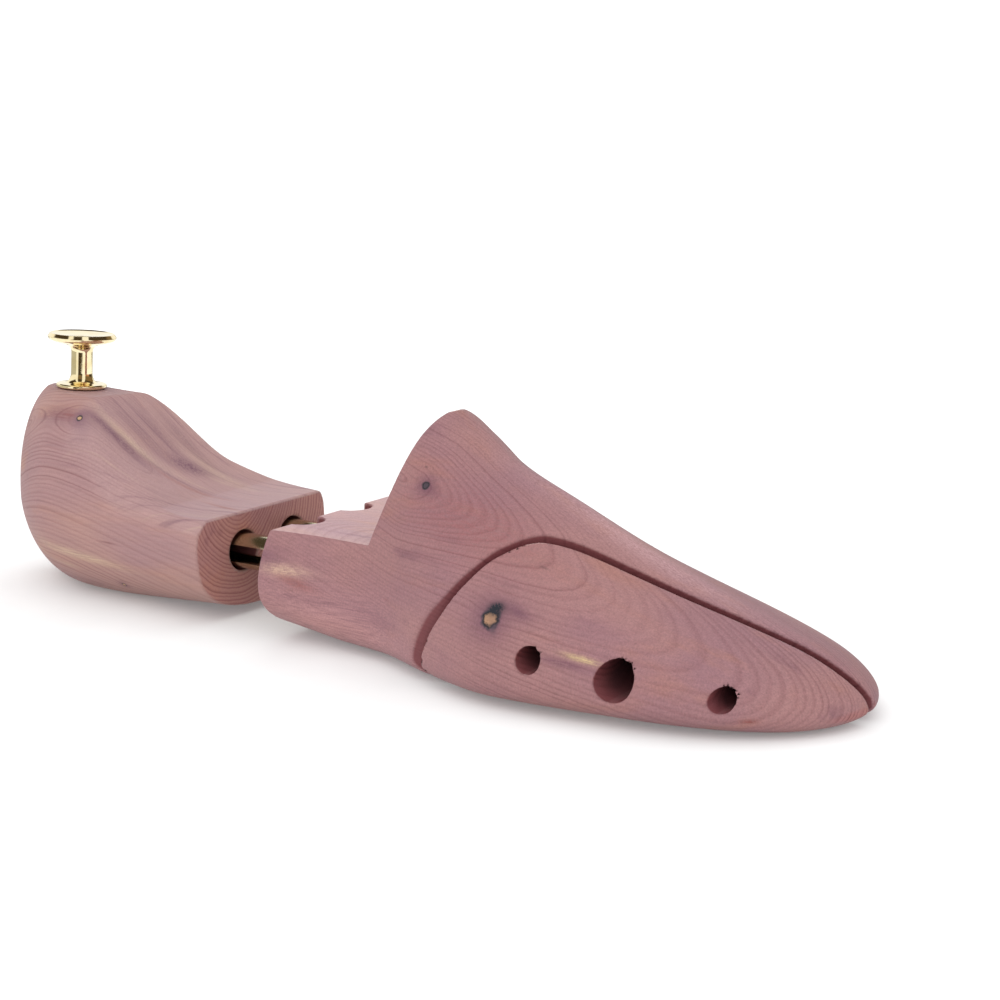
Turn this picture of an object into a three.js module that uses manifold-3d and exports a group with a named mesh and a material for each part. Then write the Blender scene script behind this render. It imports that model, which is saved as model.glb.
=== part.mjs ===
// A cedar shoe tree for a right shoe, with a sprung heel and a split forepart.
// Two slotted tubes join the heel block to the forepart: they are fixed in the forepart and slide
// in two bores of the heel block, against a spring in each bore. The lateral half of the toe is a
// separate side piece, which two springs hold away from the forepart block.
//
// Units are millimetres. X runs from heel to toe, Y from the lateral side to the medial side, and
// Z is up from the floor. Y is measured from the middle of the two tubes. The last lines move the
// origin to the middle of the underside.
import * as THREE from "three";
import { mergeVertices } from "three/addons/utils/BufferGeometryUtils.js";
import Module from "manifold-3d";

const wasm = await Module();
wasm.setup();

// ---------- Driving dimensions ----------
const TOE_X = 300; // the datum for X is 6.3 mm behind the heel, so the tree is 293.7 mm long
const HEEL_FRONT = 107.5; // front face of the heel block
const TRAVEL_GAP = 23.5; // open gap between the heel block and the forepart
const FOREPART_REAR = HEEL_FRONT + TRAVEL_GAP;
const SHELF_Z = 32.1; // flat shelf behind the tongue
const TONGUE_FOOT = 165.9; // where the tongue rises from the shelf
const TONGUE_LEAN = 0.315; // how far the tongue's rear face leans forward for each unit of height
const FACET_FRONT = 50.9; // front edge of the small flat that carries the knob
const FACET_Z = 60.9; // at that front edge, beside the knob
const FACET_TILT = 0.05; // how far it drops towards the toe for each unit of length
const FACET_ROLL = 0.045; // how far it drops towards the medial side

const TUBE_SPACING = 22;
const TUBE_Z = 20;
const TUBE_OUTER = 5.3; // radii
const TUBE_INNER = 4.4;
const TUBE_BACK = 70;
const TUBE_FRONT = 163;
const HEEL_BORE = 6.16;
const HEEL_BORE_END = 24;
const FIT_GAP = 0.3; // between pieces that touch on the real object

const SLOT_HALF = 2.5;
const SLOT_FRONT = 123;
const CROSS_PIN_X = 88;
const CROSS_PIN_RADIUS = SLOT_HALF - FIT_GAP;
const CROSS_PIN_ENDS = [-20, 26.5];

const KERF_GAP = 3; // saw cut between the side piece and the forepart block, along Y
const KERF_LEAN = 0.25; // how far the cut leans to the lateral side for each unit of height

const VENTS = [
  { x: 227, z: 14.5, radius: 3.4, depth: 58 },
  { x: 249.6, z: 12.4, radius: 5, depth: 56 },
  { x: 274.5, z: 10.1, radius: 3, depth: 48 },
];
const VENT_START = -60; // the drill starts outside the lateral side

const GUIDES = [
  { name: "rear", x: 237.5, z: 13, wallY: -5.6 },
  { name: "front", x: 264, z: 13, wallY: -3 },
];
const GUIDE_RADIUS = 2.5;
const GUIDE_DEPTH = 13; // pressed into the forepart block
const GUIDE_REACH = 11; // into the side piece at rest
const SPRING_POCKET = { radius: 5.2, depth: 5 };

const KNOB = { x: 33.4, y: -3.5, height: 17.6 };
const STUD_DEPTH = 22;
const STUD_RADIUS = 2;

const SCREW_X = 150; // the two screws that lock the tubes in the forepart
const SCREW_RADIUS = 1.5;
const SCREW_HEAD = { radius: 3.2, low: 0.6, high: 2.4 };
const SCREW_TIP_Z = 18;

// ---------- Materials ----------
const finish = (color, roughness, metalness) =>
  new THREE.MeshStandardMaterial({ color, roughness, metalness });
const CEDAR = finish(0xc08a88, 0.6, 0);
const BRASS = finish(0xd9b45a, 0.15, 1);
const PLATED = finish(0xb8b08a, 0.25, 1);
const STEEL = finish(0x9a9a9a, 0.35, 1);

// ---------- Small tools ----------
// A smooth curve through [at, value] points that never overshoots them: a monotone cubic.
function curve(points) {
  const at = points.map((p) => p[0]);
  const value = points.map((p) => p[1]);
  const last = points.length - 1;
  const step = at.slice(1).map((a, i) => a - at[i]);
  const slope = step.map((h, i) => (value[i + 1] - value[i]) / h);
  const tangent = at.map((_, i) => {
    if (i === 0) return slope[0];
    if (i === last) return slope[last - 1];
    if (slope[i - 1] * slope[i] <= 0) return 0;
    const before = 2 * step[i] + step[i - 1];
    const after = step[i] + 2 * step[i - 1];
    return (before + after) / (before / slope[i - 1] + after / slope[i]);
  });
  return (where) => {
    const x = THREE.MathUtils.clamp(where, at[0], at[last]);
    let i = 0;
    while (i < last - 1 && x > at[i + 1]) i += 1;
    const t = (x - at[i]) / step[i];
    const rise = t * t * (3 - 2 * t);
    const leave = step[i] * tangent[i] * t * (1 - t) * (1 - t);
    const arrive = step[i] * tangent[i + 1] * t * t * (t - 1);
    return value[i] + (value[i + 1] - value[i]) * rise + leave + arrive;
  };
}

// 1 at full size, falling to 0 at a rounded end; along is 0 where the rounding starts, 1 at the end.
function endRounding(along, alongPower, sizePower) {
  const s = THREE.MathUtils.clamp(along, 0, 1);
  return Math.max(0, 1 - s ** alongPower) ** (1 / sizePower);
}

const between = (from, to, share) => from + (to - from) * share;

// A closed cross-section ring of [y, z] points: four quarter super-ellipses about (y, zWide).
function ring(section, count) {
  const points = [];
  for (let i = 0; i < count; i += 1) {
    const angle = (2 * Math.PI * i) / count;
    const across = Math.cos(angle);
    const up = Math.sin(angle);
    const medial = across >= 0;
    const width = medial ? section.medial - section.y : section.y - section.lateral;
    const height = up >= 0 ? section.top - section.zWide : section.zWide - section.bottom;
    const topPower = medial ? section.topPowerMedial : section.topPowerLateral;
    const power = 2 / (up >= 0 ? topPower : section.bottomPower);
    points.push([
      section.y + Math.sign(across) * width * Math.abs(across) ** power,
      section.zWide + Math.sign(up) * height * Math.abs(up) ** power,
    ]);
  }
  return points;
}

// A solid from one cross-section at each station along X, closed by a point at each end.
function loft(sectionAt, stations, count, startPoint, endPoint) {
  const vertices = [];
  const triangles = [];
  for (const x of stations) {
    for (const [y, z] of ring(sectionAt(x), count)) vertices.push(x, y, z);
  }
  for (let s = 0; s + 1 < stations.length; s += 1) {
    for (let i = 0; i < count; i += 1) {
      const a = s * count + i;
      const b = s * count + ((i + 1) % count);
      triangles.push(a, b, b + count, a, b + count, a + count);
    }
  }
  const start = vertices.length / 3;
  vertices.push(...startPoint, ...endPoint);
  const lastRing = (stations.length - 1) * count;
  for (let i = 0; i < count; i += 1) {
    const next = (i + 1) % count;
    triangles.push(start, next, i);
    triangles.push(start + 1, lastRing + i, lastRing + next);
  }
  const geometry = new THREE.BufferGeometry();
  geometry.setAttribute("position", new THREE.Float32BufferAttribute(vertices, 3));
  geometry.setIndex(triangles);
  return solid(geometry);
}

// A closed three.js geometry as a solid that can be cut and joined.
function solid(geometry) {
  const bare = geometry.clone();
  bare.deleteAttribute("normal");
  bare.deleteAttribute("uv");
  const merged = mergeVertices(bare, 1e-4);
  const mesh = new wasm.Mesh({
    numProp: 3,
    vertProperties: merged.attributes.position.array,
    triVerts: new Uint32Array(merged.index.array),
  });
  return new wasm.Manifold(mesh);
}

function geometryOf(body) {
  const mesh = body.getMesh();
  const geometry = new THREE.BufferGeometry();
  const positions = new Float32Array(mesh.vertProperties);
  geometry.setAttribute("position", new THREE.BufferAttribute(positions, 3));
  geometry.setIndex(Array.from(mesh.triVerts));
  const faceted = geometry.toNonIndexed();
  faceted.computeVertexNormals();
  return faceted;
}

// A round bar from one point to another.
function bar(from, to, radius, sides = 20) {
  const start = new THREE.Vector3(...from);
  const end = new THREE.Vector3(...to);
  const along = end.clone().sub(start);
  const geometry = new THREE.CylinderGeometry(radius, radius, along.length(), sides);
  const turn = new THREE.Quaternion().setFromUnitVectors(
    new THREE.Vector3(0, 1, 0),
    along.clone().normalize(),
  );
  geometry.applyQuaternion(turn);
  geometry.translate(...start.add(end).multiplyScalar(0.5));
  return solid(geometry);
}

// An outline in X and Z, drawn through the whole width.
function acrossWidth(outline) {
  const shape = new THREE.Shape(outline.map(([x, z]) => new THREE.Vector2(x, z)));
  const geometry = new THREE.ExtrudeGeometry(shape, { depth: 200, bevelEnabled: false });
  geometry.rotateX(Math.PI / 2);
  geometry.translate(0, 100, 0);
  return solid(geometry);
}

// A wire coil round an axis that runs from one point to another.
class Helix extends THREE.Curve {
  constructor(from, to, radius, turns) {
    super();
    this.from = new THREE.Vector3(...from);
    this.along = new THREE.Vector3(...to).sub(this.from);
    this.radius = radius;
    this.turns = turns;
    this.side = new THREE.Vector3(0, 0, 1);
    this.other = this.along.clone().normalize().cross(this.side);
  }

  getPoint(t, target = new THREE.Vector3()) {
    const angle = 2 * Math.PI * this.turns * t;
    return target
      .copy(this.from)
      .addScaledVector(this.along, t)
      .addScaledVector(this.side, this.radius * Math.cos(angle))
      .addScaledVector(this.other, this.radius * Math.sin(angle));
  }
}

const COIL_STEPS_PER_TURN = 11;
function coil(from, to, radius, wire, turns) {
  const wireSides = 6;
  const outline = [];
  for (let i = 0; i < wireSides; i += 1) {
    const angle = (2 * Math.PI * i) / wireSides;
    outline.push(new THREE.Vector2(wire * Math.cos(angle), wire * Math.sin(angle)));
  }
  const geometry = new THREE.ExtrudeGeometry(new THREE.Shape(outline), {
    steps: Math.round(turns * COIL_STEPS_PER_TURN),
    extrudePath: new Helix(from, to, radius, turns),
  });
  return solid(geometry);
}

const tree = new THREE.Group();
function piece(name, body, material) {
  const mesh = new THREE.Mesh(geometryOf(body), material);
  mesh.name = name;
  tree.add(mesh);
}

// ---------- Heel block ----------
const heelShape = {
  lateral: curve([[6, -21.6], [45, -32], [75, -31], [107.5, -31.1]]),
  medial: curve([[6, 28.8], [45, 22.3], [75, 26.6], [95, 27.6], [107.5, 26.9]]),
  y: curve([[6, 1.1], [45, -6.2], [80, -0.1], [107.5, 2.5]]),
  top: curve([[6, 59], [28, 64.6], [51, 64.3], [75, 43.6], [107.5, 36.4]]),
  bottom: curve([[6, 0], [60, -0.8], [107.5, 2.6]]),
  zWide: curve([[6, 28.8], [107.5, 23.3]]),
  topPowerLateral: curve([[6, 2.03], [50, 1.94], [107.5, 2.64]]),
  topPowerMedial: curve([[6, 1.97], [50, 2.04], [107.5, 3.2]]),
  bottomPower: curve([[6, 1.4], [107.5, 2.82]]),
};
const HEEL_BACK = { x: 6.3, y: 0.4, z: 26 }; // the rearmost point
const HEEL_PLAN_END = 49; // the outline starts to close in here
const HEEL_PROFILE_END = 25.5;

// 1 ahead of start, falling to 0 at the back of the heel.
const heelRounding = (x, start, alongPower, sizePower) =>
  endRounding((start - x) / (start - HEEL_BACK.x), alongPower, sizePower);

function heelSection(x) {
  const plan = heelRounding(x, HEEL_PLAN_END, 2.1, 1.95);
  const profile = heelRounding(x, HEEL_PROFILE_END, 2.4, 2.2);
  return {
    lateral: between(HEEL_BACK.y, heelShape.lateral(x), plan),
    medial: between(HEEL_BACK.y, heelShape.medial(x), plan),
    y: between(HEEL_BACK.y, heelShape.y(x), plan),
    top: between(HEEL_BACK.z, heelShape.top(x), profile),
    bottom: between(HEEL_BACK.z, heelShape.bottom(x), profile),
    zWide: between(HEEL_BACK.z, heelShape.zWide(x), profile),
    topPowerLateral: heelShape.topPowerLateral(x),
    topPowerMedial: heelShape.topPowerMedial(x),
    bottomPower: heelShape.bottomPower(x),
  };
}

// The instep slope: from the facet it sweeps down to the front face.
const CREST_SLOPE = 0.98; // its steepness at the top
const slopeZ = curve([
  [FACET_FRONT, FACET_Z],
  [60, 51.5],
  [70, 42.2],
  [80, 36.3],
  [90, 33.1],
  [100, 32],
  [HEEL_FRONT, 31.8],
]);
const FACET_NORMAL = new THREE.Vector3(FACET_TILT, FACET_ROLL, 1).normalize();
const KNOB_SEAT = new THREE.Vector3(
  KNOB.x,
  KNOB.y,
  FACET_Z + (FACET_FRONT - KNOB.x) * FACET_TILT,
);
const KNOB_TURN = new THREE.Quaternion().setFromUnitVectors(
  new THREE.Vector3(0, 0, 1),
  FACET_NORMAL,
);

// A large block whose top is the plane of the facet.
function belowFacet() {
  const size = 300;
  const geometry = new THREE.BoxGeometry(size, size, size);
  geometry.translate(0, 0, -size / 2);
  geometry.applyQuaternion(KNOB_TURN);
  geometry.translate(...KNOB_SEAT);
  return solid(geometry);
}

function heelBody() {
  const stations = [];
  const backSteps = 9;
  const backReach = 28;
  for (let i = 1; i <= backSteps; i += 1) {
    const inward = 1 - Math.cos((Math.PI / 2) * (i / backSteps));
    stations.push(between(HEEL_BACK.x, backReach, inward));
  }
  const frontSteps = 16;
  for (let i = 1; i <= frontSteps; i += 1) {
    stations.push(between(backReach, HEEL_FRONT, i / frontSteps));
  }
  const backPoint = [HEEL_BACK.x, HEEL_BACK.y, HEEL_BACK.z];
  const frontPoint = [HEEL_FRONT, 0, TUBE_Z];
  const rough = loft(heelSection, stations, 44, backPoint, frontPoint);

  const under = [[-10, 0], [HEEL_FRONT + 10, 0], [HEEL_FRONT + 10, slopeZ(HEEL_FRONT)]];
  const slopeSteps = 16;
  for (let i = 0; i <= slopeSteps; i += 1) {
    const x = between(HEEL_FRONT, FACET_FRONT, i / slopeSteps);
    under.push([x, slopeZ(x)]);
  }
  const crestRise = 20; // the slope carries on above its crest, and the facet cuts it off
  under.push([FACET_FRONT - crestRise, FACET_Z + crestRise * CREST_SLOPE]);
  under.push([-10, FACET_Z + crestRise * CREST_SLOPE]);
  return rough.intersect(acrossWidth(under)).intersect(belowFacet());
}

function heelBlock() {
  let block = heelBody();
  for (const side of [-1, 1]) {
    const y = (side * TUBE_SPACING) / 2;
    const bore = bar([HEEL_BORE_END, y, TUBE_Z], [HEEL_FRONT + 5, y, TUBE_Z], HEEL_BORE, 32);
    block = block.subtract(bore);
  }
  const pinHole = bar(
    [CROSS_PIN_X, CROSS_PIN_ENDS[0] - FIT_GAP, TUBE_Z],
    [CROSS_PIN_X, 60, TUBE_Z],
    CROSS_PIN_RADIUS + FIT_GAP,
  );
  const studHole = bar(
    KNOB_SEAT.clone().addScaledVector(FACET_NORMAL, -STUD_DEPTH - FIT_GAP).toArray(),
    KNOB_SEAT.clone().addScaledVector(FACET_NORMAL, 5).toArray(),
    STUD_RADIUS + FIT_GAP,
    16,
  );
  return block.subtract(pinHole).subtract(studHole);
}

// ---------- Knob and its stud ----------
// Both are turned about the facet's normal; the profiles are [radius, height above the facet].
function turned(profile, sides) {
  const points = profile.map(([r, h]) => new THREE.Vector2(r, h));
  const geometry = new THREE.LatheGeometry(points, sides);
  geometry.rotateX(Math.PI / 2);
  geometry.applyQuaternion(KNOB_TURN);
  geometry.translate(...KNOB_SEAT);
  return solid(geometry);
}

const KNOB_SOCKET = { radius: STUD_RADIUS + FIT_GAP, depth: 9 };
function knob() {
  const top = KNOB.height;
  return turned(
    [
      [0, KNOB_SOCKET.depth],
      [KNOB_SOCKET.radius, KNOB_SOCKET.depth],
      [KNOB_SOCKET.radius, FIT_GAP],
      [7.4, FIT_GAP],
      [7.85, 0.7],
      [7.85, 1.2],
      [7.4, 1.6],
      [5, 2],
      [3.9, 2.8],
      [3.4, 4.2],
      [3.35, 11.4],
      [3.7, 12.8],
      [4.8, 13.8],
      [8.4, 14.7],
      [10.1, 15.4],
      [10.74, 16.4],
      [10.5, 17.2],
      [9.9, top],
      [9, top - 0.3],
      [5, top - 1.6],
      [0, top - 2],
    ],
    28,
  );
}

function knobStud() {
  const inside = KNOB_SOCKET.depth - FIT_GAP;
  return turned(
    [
      [0, -STUD_DEPTH],
      [0.6, -STUD_DEPTH + 1],
      [STUD_RADIUS, -STUD_DEPTH + 6],
      [STUD_RADIUS, inside - 0.5],
      [STUD_RADIUS - 0.5, inside],
      [0, inside],
    ],
    14,
  );
}

// ---------- Forepart ----------
const foreShape = {
  lateral: curve([[131, 34.8], [150, 30.8], [168, 29.5], [190, 36], [215, 41.5], [245, 39.5]]),
  medial: curve([[131, 30.5], [168, 31.5], [215, 37.5], [245, 40.5]]),
  y: curve([[131, 2.8], [177, 0.2], [215, -1.9], [300, -0.5]]),
  top: curve([
    [131, 49],
    [150, 53],
    [166, 61],
    [176.5, 67.2],
    [185, 62.9],
    [195, 56],
    [215, 47.2],
    [240, 35],
    [270, 23.3],
    [300, 12.2],
  ]),
  bottom: curve([[131, 1.6], [155, -0.8], [275, -0.8], [300, 0]]),
  zWide: curve([[131, 17.8], [180, 9], [240, 9], [300, 5.5]]),
  topPowerLateral: curve([[131, 1.68], [177, 2.1], [215, 1.7], [300, 1.9]]),
  topPowerMedial: curve([[131, 2.6], [177, 1.75], [215, 1.32], [300, 1.5]]),
  bottomPower: curve([[131, 2.4], [200, 3.1], [300, 2.5]]),
};
const TOE = { x: TOE_X, y: -0.5, z: 4.8 }; // the foremost point
const TOE_PLAN_START = 233.7;
const TOE_PROFILE_START = 280;

function foreSection(x) {
  const plan = endRounding((x - TOE_PLAN_START) / (TOE_X - TOE_PLAN_START), 2.2, 1.85);
  const profile = endRounding((x - TOE_PROFILE_START) / (TOE_X - TOE_PROFILE_START), 2.6, 2.2);
  const y = foreShape.y(x);
  return {
    lateral: y - foreShape.lateral(x) * plan,
    medial: y + foreShape.medial(x) * plan,
    y,
    top: between(TOE.z, foreShape.top(x), profile),
    bottom: between(TOE.z, foreShape.bottom(x), profile),
    zWide: between(TOE.z, foreShape.zWide(x), profile),
    topPowerLateral: foreShape.topPowerLateral(x),
    topPowerMedial: foreShape.topPowerMedial(x),
    bottomPower: foreShape.bottomPower(x),
  };
}

function foreBody() {
  const stations = [];
  const rearSteps = 24;
  const toeReach = 38;
  for (let i = 0; i <= rearSteps; i += 1) {
    stations.push(between(FOREPART_REAR, TOE_X - toeReach, i / rearSteps));
  }
  const toeSteps = 11;
  for (let i = 1; i < toeSteps; i += 1) {
    stations.push(TOE_X - toeReach * (1 - Math.sin((Math.PI / 2) * (i / toeSteps))));
  }
  const rearPoint = [FOREPART_REAR, 0, TUBE_Z];
  const rough = loft(foreSection, stations, 52, rearPoint, [TOE.x, TOE.y, TOE.z]);
  const floor = acrossWidth([[100, 0], [100, -20], [320, -20], [320, 0]]);
  const high = 90;
  const behindTongue = acrossWidth([
    [100, SHELF_Z],
    [TONGUE_FOOT, SHELF_Z],
    [TONGUE_FOOT + (high - SHELF_Z) * TONGUE_LEAN, high],
    [100, high],
  ]);
  return rough.subtract(floor).subtract(behindTongue);
}

// The line of the saw cut at floor level, on the forepart block's side of the gap.
const kerfY = curve([
  [180, -44],
  [186, -34],
  [192, -31.8],
  [198, -29.8],
  [204, -25],
  [210, -17.5],
  [219, -8.3],
  [231, -4.6],
  [257, -2],
  [282, 0.8],
  [305, 1.8],
]);

// Everything on the lateral side of the saw cut, moved sideways by shift.
function lateralOfKerf(shift) {
  const far = -90;
  const outline = [new THREE.Vector2(180, far), new THREE.Vector2(305, far)];
  const steps = 40;
  for (let i = steps; i >= 0; i -= 1) {
    const x = between(180, 305, i / steps);
    outline.push(new THREE.Vector2(x, kerfY(x) + shift));
  }
  const high = 90;
  const low = -10;
  const geometry = new THREE.ExtrudeGeometry(new THREE.Shape(outline), {
    depth: high - low,
    bevelEnabled: false,
  });
  geometry.translate(0, 0, low);
  const lean = new THREE.Matrix4().makeShear(0, 0, 0, 0, 0, -KERF_LEAN);
  geometry.applyMatrix4(lean);
  return solid(geometry);
}

function ventDrills() {
  return VENTS.map(({ x, z, radius, depth }) =>
    bar([x, VENT_START, z], [x, VENT_START + depth, z], radius, 22),
  );
}

function guideHole(guide, fromY, toY) {
  return bar([guide.x, fromY, guide.z], [guide.x, toY, guide.z], GUIDE_RADIUS + FIT_GAP);
}

function springPocket(guide, fromY, toY) {
  return bar([guide.x, fromY, guide.z], [guide.x, toY, guide.z], SPRING_POCKET.radius);
}

const NOTCH = { radius: 5.8, forward: 0.3, floor: TUBE_Z + 2 };
const forepart = foreBody();

function forepartBlock() {
  let block = forepart.subtract(lateralOfKerf(0));
  for (const side of [-1, 1]) {
    const y = (side * TUBE_SPACING) / 2;
    const boreFront = TUBE_FRONT + FIT_GAP;
    const bore = bar([100, y, TUBE_Z], [boreFront, y, TUBE_Z], TUBE_OUTER + FIT_GAP, 28);
    const notchX = FOREPART_REAR + NOTCH.forward;
    const notch = bar([notchX, y, NOTCH.floor], [notchX, y, SHELF_Z + 10], NOTCH.radius, 24);
    const shank = bar([SCREW_X, y, -5], [SCREW_X, y, TUBE_Z], SCREW_RADIUS + FIT_GAP, 12);
    const recessTop = SCREW_HEAD.high + FIT_GAP;
    const recess = bar([SCREW_X, y, -5], [SCREW_X, y, recessTop], SCREW_HEAD.radius + FIT_GAP);
    block = block.subtract(bore).subtract(notch).subtract(shank).subtract(recess);
  }
  for (const guide of GUIDES) {
    const pinEnd = guide.wallY + GUIDE_DEPTH + FIT_GAP;
    const pocketEnd = guide.wallY + SPRING_POCKET.depth;
    block = block.subtract(guideHole(guide, guide.wallY - 10, pinEnd));
    block = block.subtract(springPocket(guide, guide.wallY - 10, pocketEnd));
  }
  for (const drill of ventDrills()) block = block.subtract(drill);
  return block;
}

function sidePiece() {
  let side = forepart.intersect(lateralOfKerf(-KERF_GAP));
  for (const guide of GUIDES) {
    const inner = guide.wallY - KERF_GAP;
    const travelRoom = 6;
    side = side.subtract(guideHole(guide, inner + 10, inner - GUIDE_REACH - travelRoom));
    side = side.subtract(springPocket(guide, inner + 10, inner - SPRING_POCKET.depth));
  }
  for (const drill of ventDrills()) side = side.subtract(drill);
  return side;
}

// ---------- Tubes, their end caps, springs, seats and screws ----------
function tube(y) {
  const outer = bar([TUBE_BACK, y, TUBE_Z], [TUBE_FRONT, y, TUBE_Z], TUBE_OUTER, 28);
  const inner = bar([TUBE_BACK - 5, y, TUBE_Z], [TUBE_FRONT + 5, y, TUBE_Z], TUBE_INNER, 28);
  const slotShape = new THREE.Shape();
  slotShape.absarc(CROSS_PIN_X, TUBE_Z, SLOT_HALF, Math.PI / 2, (3 * Math.PI) / 2);
  slotShape.absarc(SLOT_FRONT, TUBE_Z, SLOT_HALF, -Math.PI / 2, Math.PI / 2);
  const slotGeometry = new THREE.ExtrudeGeometry(slotShape, {
    depth: 20,
    bevelEnabled: false,
    curveSegments: 8,
  });
  slotGeometry.rotateX(Math.PI / 2);
  slotGeometry.translate(0, y + 10, 0);
  const screwHole = bar([SCREW_X, y, 5], [SCREW_X, y, TUBE_Z], SCREW_RADIUS + FIT_GAP, 12);
  return outer.subtract(inner).subtract(solid(slotGeometry)).subtract(screwHole);
}

const CAP_FLANGE = 1.6;
const CAP_SPIGOT = 6;
function tubeCap(y) {
  const flangeFront = TUBE_BACK - FIT_GAP;
  const flangeBack = flangeFront - CAP_FLANGE;
  const flange = bar([flangeBack, y, TUBE_Z], [flangeFront, y, TUBE_Z], TUBE_OUTER, 24);
  const spigotEnd = flangeFront + CAP_SPIGOT;
  const spigotRadius = TUBE_INNER - FIT_GAP;
  const spigot = bar([flangeBack + 0.5, y, TUBE_Z], [spigotEnd, y, TUBE_Z], spigotRadius, 24);
  return flange.add(spigot);
}

const SEAT_THICKNESS = 1;
const SEAT_RADIUS = 5.6;
function springSeat(y) {
  const back = HEEL_BORE_END + FIT_GAP;
  const front = back + SEAT_THICKNESS;
  const disc = bar([back, y, TUBE_Z], [front, y, TUBE_Z], SEAT_RADIUS, 24);
  return disc.subtract(bar([back - 1, y, TUBE_Z], [front + 1, y, TUBE_Z], 2, 16));
}

const HEEL_COIL = { radius: 4.3, wire: 0.6, turns: 9 };
function heelSpring(y) {
  const { radius, wire, turns } = HEEL_COIL;
  const clear = wire + FIT_GAP;
  const from = HEEL_BORE_END + FIT_GAP + SEAT_THICKNESS + clear;
  const to = TUBE_BACK - FIT_GAP - CAP_FLANGE - clear;
  return coil([from, y, TUBE_Z], [to, y, TUBE_Z], radius, wire, turns);
}

function lockScrew(y) {
  const { radius, low, high } = SCREW_HEAD;
  const head = bar([SCREW_X, y, low], [SCREW_X, y, high], radius);
  const shank = bar([SCREW_X, y, low + 0.5], [SCREW_X, y, SCREW_TIP_Z], SCREW_RADIUS, 12);
  return head.add(shank);
}

// ---------- Guide pins and springs of the side piece ----------
function guidePin(guide) {
  const deep = guide.wallY + GUIDE_DEPTH;
  const tip = guide.wallY - KERF_GAP - GUIDE_REACH;
  return bar([guide.x, tip, guide.z], [guide.x, deep, guide.z], GUIDE_RADIUS);
}

const SIDE_COIL = { radius: 3.95, wire: 0.55, turns: 4 };
function sideSpring(guide) {
  const { radius, wire, turns } = SIDE_COIL;
  const clear = wire + FIT_GAP;
  const deep = guide.wallY + SPRING_POCKET.depth - clear;
  const shallow = guide.wallY - KERF_GAP - SPRING_POCKET.depth + clear;
  return coil([guide.x, shallow, guide.z], [guide.x, deep, guide.z], radius, wire, turns);
}

// ---------- Assembly ----------
piece("heel_block", heelBlock(), CEDAR);
piece("heel_knob", knob(), BRASS);
piece("knob_stud", knobStud(), STEEL);
const crossPin = bar(
  [CROSS_PIN_X, CROSS_PIN_ENDS[0], TUBE_Z],
  [CROSS_PIN_X, CROSS_PIN_ENDS[1], TUBE_Z],
  CROSS_PIN_RADIUS,
);
piece("heel_cross_pin", crossPin, STEEL);
piece("forepart_block", forepartBlock(), CEDAR);
piece("side_piece", sidePiece(), CEDAR);
for (const [name, side] of [["lateral", -1], ["medial", 1]]) {
  const y = (side * TUBE_SPACING) / 2;
  piece(`tube_${name}`, tube(y), PLATED);
  piece(`tube_cap_${name}`, tubeCap(y), BRASS);
  piece(`spring_seat_${name}`, springSeat(y), STEEL);
  piece(`heel_spring_${name}`, heelSpring(y), STEEL);
  piece(`tube_screw_${name}`, lockScrew(y), STEEL);
}
for (const guide of GUIDES) {
  piece(`guide_pin_${guide.name}`, guidePin(guide), STEEL);
  piece(`side_spring_${guide.name}`, sideSpring(guide), STEEL);
}

// The origin is the middle of the whole tree's box, at floor level.
const box = new THREE.Box3().setFromObject(tree);
const middle = box.getCenter(new THREE.Vector3());
tree.position.set(-middle.x, -middle.y, -box.min.z);

export default tree;
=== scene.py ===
import math

import bpy
import numpy as np
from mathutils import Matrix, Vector


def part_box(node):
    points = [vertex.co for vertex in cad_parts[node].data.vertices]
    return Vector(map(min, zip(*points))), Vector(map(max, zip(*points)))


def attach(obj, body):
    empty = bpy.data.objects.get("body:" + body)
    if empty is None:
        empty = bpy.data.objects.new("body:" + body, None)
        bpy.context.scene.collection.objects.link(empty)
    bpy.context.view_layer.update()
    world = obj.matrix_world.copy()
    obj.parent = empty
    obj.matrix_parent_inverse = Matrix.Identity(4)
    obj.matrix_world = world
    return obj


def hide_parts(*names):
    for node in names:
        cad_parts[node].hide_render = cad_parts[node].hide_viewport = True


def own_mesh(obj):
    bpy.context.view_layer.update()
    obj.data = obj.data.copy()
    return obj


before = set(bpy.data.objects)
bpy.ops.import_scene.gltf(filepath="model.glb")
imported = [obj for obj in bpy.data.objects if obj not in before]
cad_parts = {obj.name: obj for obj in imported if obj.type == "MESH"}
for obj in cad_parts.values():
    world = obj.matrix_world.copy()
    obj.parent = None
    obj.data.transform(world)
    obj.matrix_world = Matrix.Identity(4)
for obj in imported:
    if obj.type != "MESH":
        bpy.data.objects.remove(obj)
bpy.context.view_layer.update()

# A cedar shoe tree: sprung heel block, forepart block and lateral side piece of aromatic red cedar,
# two slotted brass-plated tubes, a turned brass knob, and steel pins, screws and springs.
#
# Shapes are worked out in millimetres in the drawing frame of the CAD model: X from heel to toe,
# Y from the lateral to the medial side measured from the middle of the tubes, Z up from the floor.
# Meshes are moved to the row frame, in metres, when they are made.

MM = 0.001
X, Y, Z = range(3)
WOOD_STEP = 0.7  # spacing of the grid that wood surfaces are found on
TUBE_STEP = 0.4
THREAD_STEP = 0.16
TURN_SIDES = 96
ARC_STEPS = 8  # short lines in each rounded corner of a turned outline
COIL_STEPS = 40
WIRE_SIDES = 12

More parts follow.
